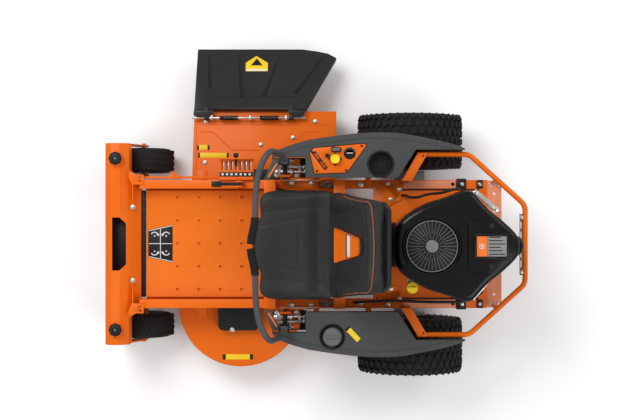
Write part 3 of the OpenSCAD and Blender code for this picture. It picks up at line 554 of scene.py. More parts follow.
# A guide panel with four fields and turning arrows
decal = slab([(-766, 61), (-766, -61), (-658, -84), (-658, 84)], floor_z, floor_z + 1.2, 0.2)
dressed(decal, "guide_panel", decal_black)
white_lines = [block((-763, -1.5, floor_z + 1), (-661, 1.5, floor_z + 1.8), 0.1),
    block((-713.5, -70, floor_z + 1), (-710.5, 70, floor_z + 1.8), 0.1)]
for s in (1, -1):
    white_lines.append(slab([(-764, s * 59), (-764, s * 56), (-658, s * 79), (-658, s * 82)], floor_z + 1,
        floor_z + 1.8, 0))
for s in (1, -1):
    for x, turn in ((-738, 1), (-686, -1)):
        arc_points = []
        for k in range(7):
            angle = math.radians(-60 + 20 * k)
            arc_points.append((x + turn * 17 * math.sin(angle), s * (34 + 17 * math.cos(angle)),
                floor_z + 1.6))
        white_lines.append(tube(arc_points, 2.4))
        tip = arc_points[-1]
        white_lines.append(slab([(tip[0] - 7, tip[1]), (tip[0] + 7, tip[1] + s * 2),
            (tip[0] + turn * 3, tip[1] - s * 10)], floor_z + 1, floor_z + 2.2, 0))
        white_lines.append(block((x - 3, s * 34 - 3, floor_z + 1), (x + 3, s * 34 + 3, floor_z + 2), 0.4))
dressed(white_lines, "guide_panel_lines", decal_white)

beam_front = (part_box("front_beam")[0].x - datum_x) / MM
swivel = [(beam_front + 50, 377), (beam_front + 50, -377)]
# A black plate inside the front beam's handle cut-out: painted shade that darkens the hole.
liner = block((beam_front + 8, -122, rail_top - 78), (beam_front + 110, 122, rail_top - 74), 0.5)
dressed(liner, "handle_hole_shade", black_plastic, "chassis")
screws("beam_bolts", [(beam_front + 123, s * 162, rail_top - 8) for s in (1, -1)], 8, 8)
caps = []
for x, y in swivel:
    caps.append(turned((x, y, rail_top), [(0, 18), (0, 30), (7, 30), (10, 35), (18, 35.5), (24, 33),
        (28, 27), (28, 18)], 48))
    caps += ribs_round(x, y, 27, rail_top + 18, rail_top + 31, 3.4, 1, 16)
caps = dressed(caps, "swivel_caps", black_plastic, "chassis")
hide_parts("fasteners")
pins = [turned((x, y, rail_top), [(0, 34), (0, 37), (5, 36.5), (7, 34)], 24) for x, y in swivel]
dressed(pins, "swivel_cap_pins", grey_plastic)
screws("front_bolts", [(beam_front + 9, s * 157, rail_top - 59) for s in (1, -1)], 9, 9, axis="x")
corner_plates = []
for s in (1, -1):
    plate = slab([(-832, s * 262), (-778, s * 262), (-778, s * 306), (-812, s * 306), (-840, s * 318),
        (-846, s * 300)], rail_top + 1, rail_top + 5, 0.6)
    flange = block((-829, s * 190, rail_top - 22), (-824, s * 300, rail_top + 3), 1)
    holes = [rod((-792, s * y, rail_top - 10), (-792, s * y, rail_top + 20), 5, 0) for y in (276, 294)]
    corner_plates += [cut(plate, holes), flange]
dressed(corner_plates, "beam_corner_plates", orange)
lift_link = [rod((-792, 294, rail_top - 12), (-446, 294, rail_top - 12), 5, 0.5),
    block((-668, 286, rail_top - 18), (-622, 306, rail_top - 6), 3),
    rod((-645, 300, rail_top - 8), (-645, 322, rail_top - 8), 7, 1)]
dressed(lift_link, "deck_lift_link", orange)

rail_bolts = both([(626, 263.5, rail_top + 7), (704, 263.5, rail_top + 7), (585, 263.5, rail_top)])
screws("rail_bolts", rail_bolts, 9, 9)
clamps = []
for s in (1, -1):
    clamps.append(block((600, s * 263.5 - 25, rail_top + 6), (644, s * 263.5 + 25, rail_top + 13), 3))
    clamps.append(block((690, s * 263.5 - 19, rail_top + 6), (718, s * 263.5 + 19, rail_top + 10), 2))
dressed(clamps, "engine_mount_pads", black_plastic, "chassis")

gussets = []
for s in (1, -1):
    plate = slab([(250, s * 281), (362, s * 281), (362, s * 196), (330, s * 184), (286, s * 150),
        (266, s * 156), (282, s * 210), (250, s * 244)], rail_top + 6, rail_top + 12, 0.8)
    holes = [rod((269, s * 258, rail_top), (269, s * 258, rail_top + 20), 10, 0),
        rod((340, s * 205, rail_top), (340, s * 205, rail_top + 20), 8, 0)]
    gussets.append(cut(plate, holes))
dressed(gussets, "engine_gussets", orange)
screws("gusset_bolts", both([(300, 266, rail_top + 12), (350, 240, rail_top + 12),
    (312, 196, rail_top + 12)]), 7, 6)
screws("crossplate_bolts", both([(752, 262, rail_top), (786, 262, rail_top), (752, 60, rail_top)]), 6, 5)
screws("step_bolts", [(876, y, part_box("step_plate")[1].z / MM) for y in (119, -119)], 6, 5)

# ---- Consoles ----

console_in = 287.5
console_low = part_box("fender_right")[0].z / MM


def console_line(s):
    """The console's outline, with its outer side as one long smooth bow."""
    corners = [(-207, 291), (-207, 385), (-172, 414), (-110, 436), (-48, 453), (10, 462), (66, 470),
        (115, 476), (160, 481), (218, 484), (274, 485), (312, 484), (348, 481), (382, 476), (415, 470),
        (470, 459), (523, 448), (570, 436), (612, 422), (628, 413)]
    inner = [(628, 411), (414, 411), (337, 290)]
    return [(x, s * y) for x, y in corners + inner]


def console(side):
    """One console: a thick moulded shell with a broad lighter chamfer round its outer edge."""
    s = 1 if side == "right" else -1
    shell = slab(console_line(s), console_low, console_z, 0)
    top = console_z * MM
    mesh = shell.data
    weights = mesh.attributes.new("bevel_weight_edge", "FLOAT", "EDGE")
    for edge in mesh.edges:
        a, b = (mesh.vertices[v].co for v in edge.vertices)
        on_top = abs(a.z - top) < 1e-5 and abs(b.z - top) < 1e-5
        run, across, height = back_to_mm((a + b) / 2)
        outer = s * across
        if on_top and outer > 400 and run < 620:
            weights.data[edge.index].value = 1.0
        elif on_top:
            weights.data[edge.index].value = 0.16
    applied(shell, "BEVEL", width=15 * MM, segments=3, limit_method="WEIGHT", profile=0.62)
    holes = [block((-203, s * 250, console_low - 20), (-62, s * (console_in + 92), console_z + 20), 0)]
    if side == "right":
        holes.append(rod((262, console_in + 61, console_z - 48), (262, console_in + 61, console_z + 20),
            50, 0, 64))
        holes.append(slab([(-28, console_in + 104), (-18, console_in + 116), (160, console_in + 130),
            (112, console_in + 43), (104, console_in + 36), (-14, console_in + 32)], console_low - 20,
            console_z + 20, 0))
    else:
        holes.append(rod((53, -console_in - 109, console_z - 36), (53, -console_in - 109, console_z + 20),
            52, 0, 64))
        holes.append(rod((53, -console_in - 109, console_low - 20), (53, -console_in - 109, console_z),
            31, 0, 48))
    cut(shell, holes)
    rounded_edges(shell, 0)
    node = "fender_" + side
    dressed(shell, node + "_made", console_grey, "chassis")
    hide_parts(node)


console("right")
console("left")

cup_x, cup_y = 262, console_in + 61
cup = [ring((cup_x, cup_y, console_z + 0.5), 54.5, 4.4, 64)]
for k in range(9):
    if k % 2:
        cup.append(ring((cup_x, cup_y, console_z - 44), 10 + 4.4 * k, 1.4, 48))
    else:
        cup.append(block((cup_x - 46 + 11 * k, cup_y - 22, console_z - 46),
            (cup_x - 43 + 11 * k, cup_y + 22, console_z - 43), 0.3))
dressed(cup, "cup_holder_trim", black_plastic, "chassis")
line = [(0, 0), (0, 1.5), (47.5, 1.5), (49, 44), (49.8, 44), (49.8, 0)]
cup_wall = turned((cup_x, cup_y, console_z - 47), line, 64)
dressed(cup_wall, "cup_holder_liner", black_plastic, "chassis")
tank_ring = ring((53, -console_in - 109, console_z + 0.5), 53, 3, 64)
dressed(tank_ring, "filler_recess_trim", black_plastic, "chassis")
stripe = slab([(108, -366), (124, -350), (175, -404), (160, -420)], console_z, console_z + 1.0, 0.2)
dressed(stripe, "filler_label", decal_yellow)
stripe = slab([(108, -366), (124, -350), (131, -357), (115, -373)], console_z + 0.8, console_z + 1.6, 0.1)
dressed(stripe, "filler_label_end", decal_black)

# Caps
cx, cy = centre("fuel_cap")
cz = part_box("fuel_cap")[0].z / MM
lid = turned((cx, cy, cz), [(0, 0), (0, 19), (30, 19), (36, 17), (39, 13), (40, 0)], 72)
teeth = [block((cx + 38.5, cy - 1.6, cz + 1), (cx + 41.8, cy + 1.6, cz + 13), 0.6)]
cap_axis = Matrix.Translation(spot(cx, cy, 0))
for k in range(1, 28):
    turn = cap_axis @ Matrix.Rotation(math.tau * k / 28, 4, "Z") @ cap_axis.inverted()
    teeth.append(twin(teeth[0], turn))
bar = block((cx - 30, cy - 5, cz + 18), (cx + 30, cy + 5, cz + 27), 2.5, 3)
lid = dressed([lid, bar, *teeth], "fuel_cap_made", grey_plastic, "fuel_filler_cap")
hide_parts("fuel_cap")
soften("oil_cap", yellow, 2.0, 3)

# ---- Control panel ----

panel_line = [(-46, 110), (-28, 133), (192, 152), (204, 143), (125, 30), (112, 21), (-26, 16.5)]
gasket = slab([(x, console_in + y) for x, y in panel_line], console_z, console_z + 1.2, 0.2)
dressed(cut(gasket, [slab([(x * 0.94 + 4, console_in + 83 + (y - 83) * 0.94) for x, y in panel_line],
    console_z - 5, console_z + 5, 0)]), "panel_gasket", decal_black, "chassis")
places = ((-34, 112), (180, 139), (113, 34), (-14, 30))
screw_line = [(0, 0), (0, 3), (3, 3), (5, 1.6), (5.4, 0)]
corner_screws = [turned((x, console_in + y, panel_z), screw_line, 20) for x, y in places]
dressed(corner_screws, "panel_screws", decal_black, "chassis")
for side, s in (("right", 1), ("left", -1)):
    line = [(-176, 388), (-130, 404), (-48, 428), (66, 446), (160, 457), (274, 461), (382, 452),
        (470, 437), (570, 414)]
    bead = tube([(x, s * y, console_z - 0.6) for x, y in line], 2.6, steps=8)
    dressed(bead, "console_bead_" + side, console_grey, "chassis")

pto_x, pto_y = 65, console_in + 82
bezel = slab([(pto_x - 30, pto_y), (pto_x, pto_y - 30), (pto_x + 30, pto_y), (pto_x, pto_y + 30)],
    panel_z, panel_z + 1.6, 0.4)
hole = rod((pto_x, pto_y, panel_z - 5), (pto_x, pto_y, panel_z + 9), 9.6, 0)
dressed(cut(bezel, [hole]), "switch_bezel", decal_black)
knob = turned((pto_x, pto_y, panel_z + 12), [(0, 0), (0, 12), (10, 11.5), (14, 13), (17, 15.5), (20, 15),
    (21, 12), (20, 3), (17, 0)], 48)
stem = rod((pto_x, pto_y, panel_z - 22), (pto_x, pto_y, panel_z + 13), 8.9, 0.4)
knob = dressed([knob, stem], "pto_knob_made", yellow, "blade_switch")
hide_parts("pto_knob")

key_x, key_y = 128, console_in + 107
dial = turned((key_x, key_y, panel_z), [(9.4, 0), (9.4, 1.4), (25, 1.4), (26, 0.6), (26, 0)], 48)
dressed(dial, "key_dial", decal_black)
ticks = []
for k in range(5):
    angle = math.radians(150 - 30 * k)
    c, sn = math.cos(angle), math.sin(angle)
    ticks.append(rod((key_x + 21 * c, key_y + 21 * sn, panel_z + 1),
        (key_x + 24.5 * c, key_y + 24.5 * sn, panel_z + 1.8), 1.0, 0.1, 8))
dressed(ticks, "key_dial_marks", decal_white)
soften("key_knob", black_plastic, 1.2)
tag = block((key_x - 13, key_y - 1.6, panel_z + 20), (key_x + 13, key_y + 1.6, panel_z + 21.6), 0.4)
dressed(tag, "key_mark", decal_white, "ignition_key")

soften("choke_knob", black_plastic, 1.5, 3)
soften("hour_meter", black_plastic, 1.6, 3)
mx, my = centre("hour_meter")
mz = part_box("hour_meter")[1].z / MM
lcd = block((mx - 15, my - 5, mz - 0.4), (mx + 15, my + 6, mz + 0.6), 0.3)
dressed(lcd, "hour_meter_window", label_grey)
digits = [block((mx - 11 + 5 * k, my - 3, mz + 0.4), (mx - 8 + 5 * k, my + 3.5, mz + 0.9), 0.1)
    for k in range(5)]
dressed(digits, "hour_meter_cells", decal_black)

turn = math.radians(-53)
sx, sy = -1, console_in + 76


def along_slot(a, b):
    return (sx + a * math.cos(turn) - b * math.sin(turn), sy + a * math.sin(turn) + b * math.cos(turn))


trim_line = [along_slot(-46, -9), along_slot(46, -9), along_slot(46, 9), along_slot(-46, 9)]
trim = slab(trim_line, panel_z, panel_z + 1.4, 0.3)
slot_hole = slab([along_slot(-38, -4.6), along_slot(38, -4.6), along_slot(38, 4.6), along_slot(-38, 4.6)],
    panel_z - 5, panel_z + 5, 0)
dressed(cut(trim, [slot_hole]), "throttle_trim", decal_black)
marks = []
for k in range(5):
    a, b = along_slot(-30 + 15 * k, 6), along_slot(-30 + 15 * k, 8.5)
    marks.append(rod((*a, panel_z + 1.6), (*b, panel_z + 1.6), 0.8, 0, 8))
dressed(marks, "throttle_marks", decal_white)
foot_z, tz = (corner.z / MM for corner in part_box("throttle_lever"))
handle = joined([
    rod((sx, sy, foot_z + 6), (sx, sy, tz - 8), 2.9, 0.3),
    rod((*along_slot(0, -13.5), foot_z + 6), (*along_slot(0, 13.5), foot_z + 6), 5.8, 0.3),
    rod((sx, sy, tz - 22), (sx, sy, tz - 1), 6.5, 2.0, 24, 8.5)])
handle = dressed(handle, "throttle_lever_made", black_plastic, "throttle")
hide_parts("throttle_lever")

# ---- Deck ----

deck_side = (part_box("deck_top")[1].y - datum_y) / MM
sticker = [block((-561, 424, deck_z), (-504, 447, deck_z + 0.8), 0.2),
    block((-557, 389, deck_z), (-417, 411, deck_z + 0.8), 0.2)]
dressed(sticker, "deck_labels_right", decal_yellow, "deck")
places = ((-561, 424), (-513, 424), (-557, 389), (-426, 389))
ends = [block((x, y, deck_z + 0.6), (x + 9, y + 22, deck_z + 1.2), 0.1) for x, y in places]
dressed(ends, "deck_label_ends", decal_black, "deck")
left_label = block((-444, -532, deck_z), (-306, -508, deck_z + 0.8), 0.2)
dressed(left_label, "deck_label_left", decal_yellow, "deck")
ends = [block((x, -532, deck_z + 0.6), (x + 14, -508, deck_z + 1.2), 0.1) for x in (-444, -320)]
dressed(ends, "deck_label_left_ends", decal_black, "deck")

beads = []
for r, line in ((2.4, [(-546, 507), (-488, 506), (-404, 425), (-279, 423)]),
                (2.4, [(0, 508), (-71, 508), (-113, 462)]),
                (1.8, [(-565, 330), (-565, 540), (50, 540)]),
                (3.0, [(-300, 540), (-160, 540)])):
    beads.append(tube([(x, y, deck_z) for x, y in line], r, bend="VECTOR"))
dressed(beads, "deck_beads", orange, "deck")
soften("deck_fittings", orange, 0.8)
screws("deck_bolts", [(-520, 553, deck_z + 3), (-20, 554, deck_z + 3), (-122, 480, deck_z + 3),
    (-269, 448, deck_z + 3), (-524, 366, deck_z + 3)], 7, 6, body="deck")
soften("deck_covers", black_plastic, 4.0, 3)
left_x, left_y = -361, -279.9
boss = [rod((-397, -392, deck_z + 40), (-397, -392, deck_z + 49), 9, 1),
    ring((-397, -392, deck_z + 48), 9, 2, 24)]
boss += screw((-397, -392, deck_z + 48), 6, 5)
dressed(boss, "cover_screw", steel, "deck")
ribs = [block((left_x - 80 + 34 * k, left_y - 96, deck_z + 46),
    (left_x - 72 + 34 * k, left_y + 90, deck_z + 49), 1) for k in range(5)]
dressed(ribs, "cover_ribs", black_plastic, "deck")

soften("chute_hinge", steel, 0.8)


def coil(x0, x1, y, z, r, wire, turns):
    """A torsion spring wound round a rod along X."""
    steps = turns * 8
    points = [(x0 + (x1 - x0) * k / steps, y + r * math.cos(math.tau * k / 8),
        z + r * math.sin(math.tau * k / 8)) for k in range(steps + 1)]
    return tube(points, wire, steps=2)


hinge_y = centre("chute_hinge")[1]
hinge_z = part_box("chute_hinge")[1].z / MM - 10
springs = [coil(x, x + 84, hinge_y, hinge_z, 9.5, 2.2, 14) for x in (-456, -272)]
dressed(springs, "chute_springs", satin_black, "deck")
feet = []
for line in ([(-572, 604), (-574, 581), (-556, 570), (-508, 570), (-488, 584), (-476, 604)],
             [(-152, 604), (-136, 584), (-122, 571), (-86, 571), (-72, 584), (-64, 604)]):
    feet.append(slab(line, hinge_z + 7, hinge_z + 13, 2))
dressed(feet, "chute_feet", chute_black, "discharge_chute")

chute = soften("chute", chute_black, 1.6)
for vertex in chute.data.vertices:
    x, y, z = back_to_mm(vertex.co)
    if y > 850 and -200 < x < -60:
        vertex.co.x += 81 * MM
    elif y > 850 and -30 < x < 30:
        vertex.co.x += 39 * MM
slope = math.atan2(125, 286)
chute_line = deck_side + 8


def on_chute(x, along_mm, lift=0.0):
    """A point on the chute's sloping face: how far out along it, and how high above it."""
    y = chute_line + along_mm * math.cos(slope) + lift * math.sin(slope)
    z = hinge_z + 5 - along_mm * math.sin(slope) + lift * math.cos(slope)
    return (x, y, z)


def chute_lines(ends, r, r_end):
    """Raised lines on the chute's face, each from r thick to r_end."""
    return [rod(on_chute(*start, -0.6), on_chute(*end, -0.6), r, 0, 16, r_end) for start, end in ends]


# The black tapered lines in the chute's folds are painted shade; the ridges beside them are real relief.
crease_shade = chute_lines([((-514, 285), (-505, 112)), ((-378, 285), (-358, 62)), ((-183, 285), (-255, 66)),
    ((12, 265), (-110, 82))], 1.8, 5.4)
crease_shade.append(tube([on_chute(-500, 62, -1.0), on_chute(-110, 62, -1.0)], 2.6, bend="VECTOR"))
dressed(crease_shade, "chute_crease_shade", decal_black, "discharge_chute")
ridges = chute_lines([((-504, 285), (-495, 112)), ((-368, 285), (-346, 62)), ((-193, 285), (-266, 66)),
    ((2, 265), (-121, 82))], 2.2, 3.4)
dressed(ridges, "chute_ridges", chute_black, "discharge_chute")


def chute_plate(outline, low, high):
    piece = slab(outline, 0, high - low, 0.2)
    for vertex in piece.data.vertices:
        x, along_mm, lift = back_to_mm(vertex.co)
        vertex.co = spot(*on_chute(x, along_mm, low + lift))
    return piece


label = chute_plate([(-294, 276), (-342, 240), (-342, 196), (-240, 196), (-240, 240)], 0, 0.9)
dressed(label, "chute_label", decal_yellow, "discharge_chute")
label = chute_plate([(-336, 206), (-246, 206), (-246, 198), (-336, 198)], 0.7, 1.4)
dressed(label, "chute_label_band", decal_white, "discharge_chute")
label = chute_plate([(-291, 264), (-318, 226), (-264, 226)], 0.7, 1.4)
dressed(label, "chute_label_field", decal_black, "discharge_chute")

# Height of cut
plate = block((-443, 298, rail_top), (-296, 317, rail_top + 1.6), 0.3)
dressed(plate, "height_scale", decal_black)
marks = [block((-435 + 20 * k, 303, rail_top + 1.4), (-425 + 20 * k, 312, rail_top + 2.2), 0.2)
    for k in range(7)]
dressed(marks, "height_scale_marks", decal_white)
# The slots are dark plates on the rail: painted shade in the gaps between the teeth.
slot_shade = [block((-436 + 20 * k, 326, rail_top), (-428 + 20 * k, 366, rail_top + 0.9), 0.2) for k in range(7)]
dressed(slot_shade, "height_slot_shade", dimple_shade)
teeth = [block((-426 + 20 * k, 326, rail_top), (-422 + 20 * k, 366, rail_top + 2.4), 0.6) for k in range(7)]
dressed(teeth, "height_teeth", steel)
soften("height_pin", black_plastic, 2.0, 3)
soften("lift_pedal", black_plastic, 1.5)

# ---- Casters and wheels ----

for side, s in (("right", 1), ("left", -1)):
    soften("caster_rim_" + side, rim_silver, 0.8)
    soften("rear_rim_" + side, rim_silver, 1.2)


def lug(length, width, height):
    """One tread block, modelled round the origin with its foot at zero height."""
    bpy.ops.mesh.primitive_cube_add(size=1, location=(0, 0, height * MM / 2))
    piece = bpy.context.object
    piece.scale = (length * MM, width * MM, height * MM)
    only(piece)
    bpy.ops.object.transform_apply(location=True, rotation=True, scale=True)
    applied(piece, "BEVEL", width=1.6 * MM, segments=1, limit_method="ANGLE")
    return piece


def tyre(node, rows, count, lug_size, depth, tilt):
    """A tyre: a turned carcass with rows of tread blocks, each row shifted and tilted."""
    low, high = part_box(node)
    middle = (low + high) / 2
    r = (high.z - low.z) / 2 / MM
    w = (high.y - low.y) / 2 / MM
    rim = 64 if r < 200 else 102.5
    rise = r - rim
    base = r - depth
    profile = [(rim, -w + 15), (rim + 6, -w + 7), (rim + rise * 0.22, -w + 2),
        (rim + rise * 0.48, -w + 0.5), (rim + rise * 0.70, -w + 3), (base - 14, -w + 7),
        (base - 5, -w + 15), (base - 1, -w * 0.62), (base, -w * 0.25), (base, w * 0.25),
        (base - 1, w * 0.62), (base - 5, w - 15), (base - 14, w - 7), (rim + rise * 0.70, w - 3),
        (rim + rise * 0.48, w - 0.5), (rim + rise * 0.22, w - 2), (rim + 6, w - 7), (rim, w - 15)]
    pieces = [turned(back_to_mm(middle), profile, 96, (0, 1, 0))]
    sunk = 2.2
    block_shape = lug(*lug_size, depth + sunk)
    for row, (offset, drop) in enumerate(rows):
        lean = 0 if offset == 0 else math.copysign(tilt, offset)
        tip = 0 if drop <= 2 else math.copysign(22, -offset)
        stand = Matrix.Translation(Vector((0, offset, base - sunk - drop)) * MM)
        turn = Matrix.Rotation(math.radians(lean), 4, "Z") @ Matrix.Rotation(math.radians(tip), 4, "X")
        for k in range(count):
            round_axle = Matrix.Rotation(math.tau * (k + 0.5 * (row % 2)) / count, 4, "Y")
            pieces.append(twin(block_shape, Matrix.Translation(middle) @ round_axle @ stand @ turn))
    bpy.data.objects.remove(block_shape)
    piece = joined(pieces)
    only(piece)
    bpy.ops.object.shade_smooth_by_angle(angle=math.radians(30))
    dressed(piece, node + "_made", rubber, node_body[node])
    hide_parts(node)


rear_rows = [(-103, 5), (-72, 0.6), (-36, 0), (0, 0), (36, 0), (72, 0.6), (103, 5)]
caster_rows = [(-38, 1.0), (-13, 0), (13, 0), (38, 1.0)]
for side in ("right", "left"):
    tyre("rear_tyre_" + side, rear_rows, 40, (24, 25), 9, 24)
    tyre("caster_tyre_" + side, caster_rows, 44, (15, 17), 3.0, 0)

# ---- Engine ----

shroud_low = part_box("blower_shroud")[0].z / MM
outline = [(306, 20), (308, 52), (317, 82), (334, 107), (356, 127), (380, 143), (408, 160), (441, 177),
    (472, 188), (505, 197), (548, 212), (589, 228), (612, 231), (632, 226), (652, 206), (674, 180),
    (702, 150), (730, 128), (748, 114), (764, 100), (786, 80), (800, 66), (814, 50), (824, 30), (828, 12)]
whole = outline + [(x, -y) for x, y in reversed(outline)]
shroud = slab(whole, shroud_low, shroud_top, 0)
top_edge = shroud_top * MM
weights = shroud.data.attributes.new("bevel_weight_edge", "FLOAT", "EDGE")
for edge in shroud.data.edges:
    a, b = (shroud.data.vertices[v].co for v in edge.vertices)
    if a.z > top_edge - 1e-5 and b.z > top_edge - 1e-5:
        weights.data[edge.index].value = 1.0
applied(shroud, "BEVEL", width=24 * MM, segments=5, limit_method="WEIGHT")
cut(shroud, [rod((crank_x, 0, shroud_top - 60), (crank_x, 0, shroud_top + 20), 111, 0, 96),
    slab([(0.96 * x + 20, 0.95 * y) for x, y in whole], shroud_low - 5, shroud_top - 70, 0)])
rounded_edges(shroud, 0)
dressed(shroud, "blower_shroud_made", engine_black, "chassis")
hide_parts("blower_shroud")
collar = turned((crank_x, 0, shroud_top - 6), [(111, -30), (111, 8), (114, 11), (119, 11), (124, 7),
    (127, 3), (127, -30)], 96)
dressed(collar, "screen_collar", engine_black, "chassis")
tip = turned((806, 0, shroud_top - 90), [(0, 0), (0, 62), (24, 60), (38, 52), (46, 36), (46, 0)], 48)
dressed(tip, "shroud_tip", engine_black, "chassis")

fins = []
screen_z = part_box("fan_screen")[0].z / MM
for k in range(36):
    angle = math.tau * k / 36
    c, sn = math.cos(angle), math.sin(angle)
    near = 50 if k % 2 else 31
    a = (crank_x + near * c, near * sn, screen_z + 8)
    b = (crank_x + 103 * c, 103 * sn, screen_z + 7)
    fins.append(rod(a, b, 0.9, 0, 6))
fins.append(ring((crank_x, 0, screen_z + 7), 105, 2.0, 72))
hub = turned((crank_x, 0, screen_z), [(0, 2), (0, 14), (20, 14), (25, 12), (27, 8), (27, 2)], 48)
disc = turned((crank_x, 0, screen_z), [(0, 0), (0, 3), (105, 3), (107, 1.5), (107, 0)], 72)
dressed(disc, "fan_screen_back", decal_black, "engine_crank")
screen = dressed([hub, *fins], "fan_screen_made", screen_grey, "engine_crank")
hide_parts("fan_screen")

cover_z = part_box("air_cleaner_cover")[0].z / MM
cover = slab([(612, 104), (612, -104), (706, -112), (728, -106), (790, -58), (800, -44), (800, 44),
    (790, 58), (728, 106), (706, 112)], cover_z, cover_z + 12, 5, 3)
frame_bar = cut(slab([(632, 50), (638, 56), (776, 56), (782, 50), (782, -50), (776, -56), (638, -56),
    (632, -50)], cover_z + 10, cover_z + 22, 3, 3), [block((644, -44, cover_z + 16),
    (772, 44, cover_z + 40), 0)])
cover = dressed([cover, frame_bar], "air_cleaner_cover_made", engine_black, "chassis")
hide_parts("air_cleaner_cover")
dressed(block((646, -42, cover_z + 15), (688, 42, cover_z + 17.5), 0.6), "engine_label_field",
    decal_orange)
dressed(block((689, -42, cover_z + 15), (770, 42, cover_z + 17.2), 0.6), "engine_label_plate", label_grey)
stripes = [block((696, -34 + 14 * k, cover_z + 16.8), (762 - 9 * (k % 3), -30 + 14 * k, cover_z + 17.8),
    0.2) for k in range(6)]
dressed(stripes, "engine_label_bars", decal_black)
icon = [ring((667, 0, cover_z + 17.6), 10, 1.4, 32),
    rod((667, 0, cover_z + 17), (667, 0, cover_z + 18.4), 4, 0.2, 24)]
dressed(icon, "engine_label_icon", decal_white)
knobs = []
for s in (1, -1):
    line = [(0, 0), (0, 13), (8, 13), (11, 11), (13, 6), (13, 0)]
    knobs.append(turned((707, s * 84, cover_z + 10), line, 24))
    knobs += ribs_round(707, s * 84, 13, cover_z + 10, cover_z + 20, 2.6, 0.8, 12)
dressed(knobs, "cover_knobs", black_plastic, "chassis")

soften("engine_block", cast, 2.0)
soften("cylinders", cast, 1.0)
soften("muffler", bright_steel, 3.0, 3)
soften("battery", black_plastic, 3.0)
soften("transaxles", cast, 3.0)
soften("fuel_tank", black_plastic, 8.0, 3)
soften("crankshaft", steel, 1.0)
shields = [slab([(650, 226), (666, 240), (770, 152), (754, 138)], shroud_low - 6, shroud_low - 1, 0.8),
    slab([(640, -224), (656, -236), (718, -168), (702, -154)], shroud_low - 6, shroud_low - 1, 0.8)]
for x, y in ((668, 226), (752, 154), (656, -222), (702, -168)):
    shields += screw((x, y, shroud_low - 1), 6, 5)
dressed(shields, "heat_shields", bright_steel)
dressed(tube([(360, 214, 424), (372, 214, 470), (392, 205, 540), (420, 205, 572), (455, 216, 582),
    (520, 224, 578), (585, 240, 540), (620, 236, 480), (640, 225, 424)], 6), "cable_right", black_plastic,
    "chassis")
cable = dressed(tube([(150, -256, 418), (160, -256, 446), (190, -252, 470), (250, -248, 478),
    (340, -246, 476), (430, -250, 480), (540, -252, 478), (640, -246, 466), (706, -214, 440),
    (716, -206, 424)], 6), "cable_left", black_plastic, "chassis")
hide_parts("cables")

# ---- Levers and lap bars ----

lever_x, lever_y, knuckle_z = -153, console_in + 62, console_z + 60


def lap_bar(side):
    s = 1 if side == "right" else -1
    line = [(lever_x, lever_y + 16, knuckle_z + 12), (lever_x - 13, lever_y + 36, knuckle_z + 44),
        (lever_x - 34, lever_y + 42, knuckle_z + 110), (lever_x - 54, lever_y + 42, bar_z - 26),
        (lever_x - 68, lever_y + 26, bar_z - 4), (lever_x - 86, lever_y - 8, bar_z),
        (lever_x - 103, lever_y - 60, bar_z), (lever_x - 111, lever_y - 120, bar_z),
        (lever_x - 115, 108, bar_z)]
    bar_body = "lap_bar_arm_" + side
    steel_bar = tube([(x, s * y, z) for x, y, z in line], 13, steps=10)
    knuckle = joined([
        block((lever_x - 15, s * (lever_y - 4), knuckle_z),
            (lever_x + 15, s * (lever_y + 31), knuckle_z + 15), 2),
        rod((lever_x - 15, s * (lever_y + 7), knuckle_z), (lever_x + 15, s * (lever_y + 7), knuckle_z),
            11.5, 0.8)])
    cleaned(knuckle)
    made = dressed([steel_bar, knuckle], "lap_bar_" + side + "_made", bar_grey, bar_body)
    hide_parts("lap_bar_" + side)
    grip = [(lever_x - 115, 114), (lever_x - 118, 90), (lever_x - 124, 62), (lever_x - 130, 34),
        (lever_x - 133, 9)]
    foam_grip = tube([(x, s * y, bar_z) for x, y in grip], 16.6, steps=10)
    dressed(foam_grip, "grip_" + side, foam, bar_body)
    collar_piece = rod((lever_x - 115, s * 112, bar_z), (lever_x - 114.6, s * 120, bar_z), 17.4, 1.5)
    dressed(collar_piece, "grip_collar_" + side, black_plastic, bar_body)
    soften("lever_" + side, satin_black, 1.5)
    lever_body = "control_lever_" + side
    mark = slab([(lever_x - 18, s * (lever_y + 1)), (lever_x + 18, s * (lever_y + 1)),
        (lever_x + 18, s * (lever_y + 9)), (lever_x - 18, s * (lever_y + 9))], knuckle_z - 21.6,
        knuckle_z - 21, 0)
    dressed(mark, "lever_mark_" + side, decal_orange, lever_body)
    plate = slab([(-240, s * 278), (-218, s * 278), (-168, s * 352), (-168, s * 366), (-203, s * 366)],
        knuckle_z - 14, knuckle_z - 8, 1)
    dressed(plate, "lever_plate_" + side, console_grey, lever_body)
    stripe = slab([(-224, s * 292), (-218, s * 289), (-180, s * 348), (-186, s * 351)], knuckle_z - 9,
        knuckle_z - 7, 0.3)
    dressed(stripe, "lever_stripe_" + side, decal_orange, lever_body)


lap_bar("right")
lap_bar("left")

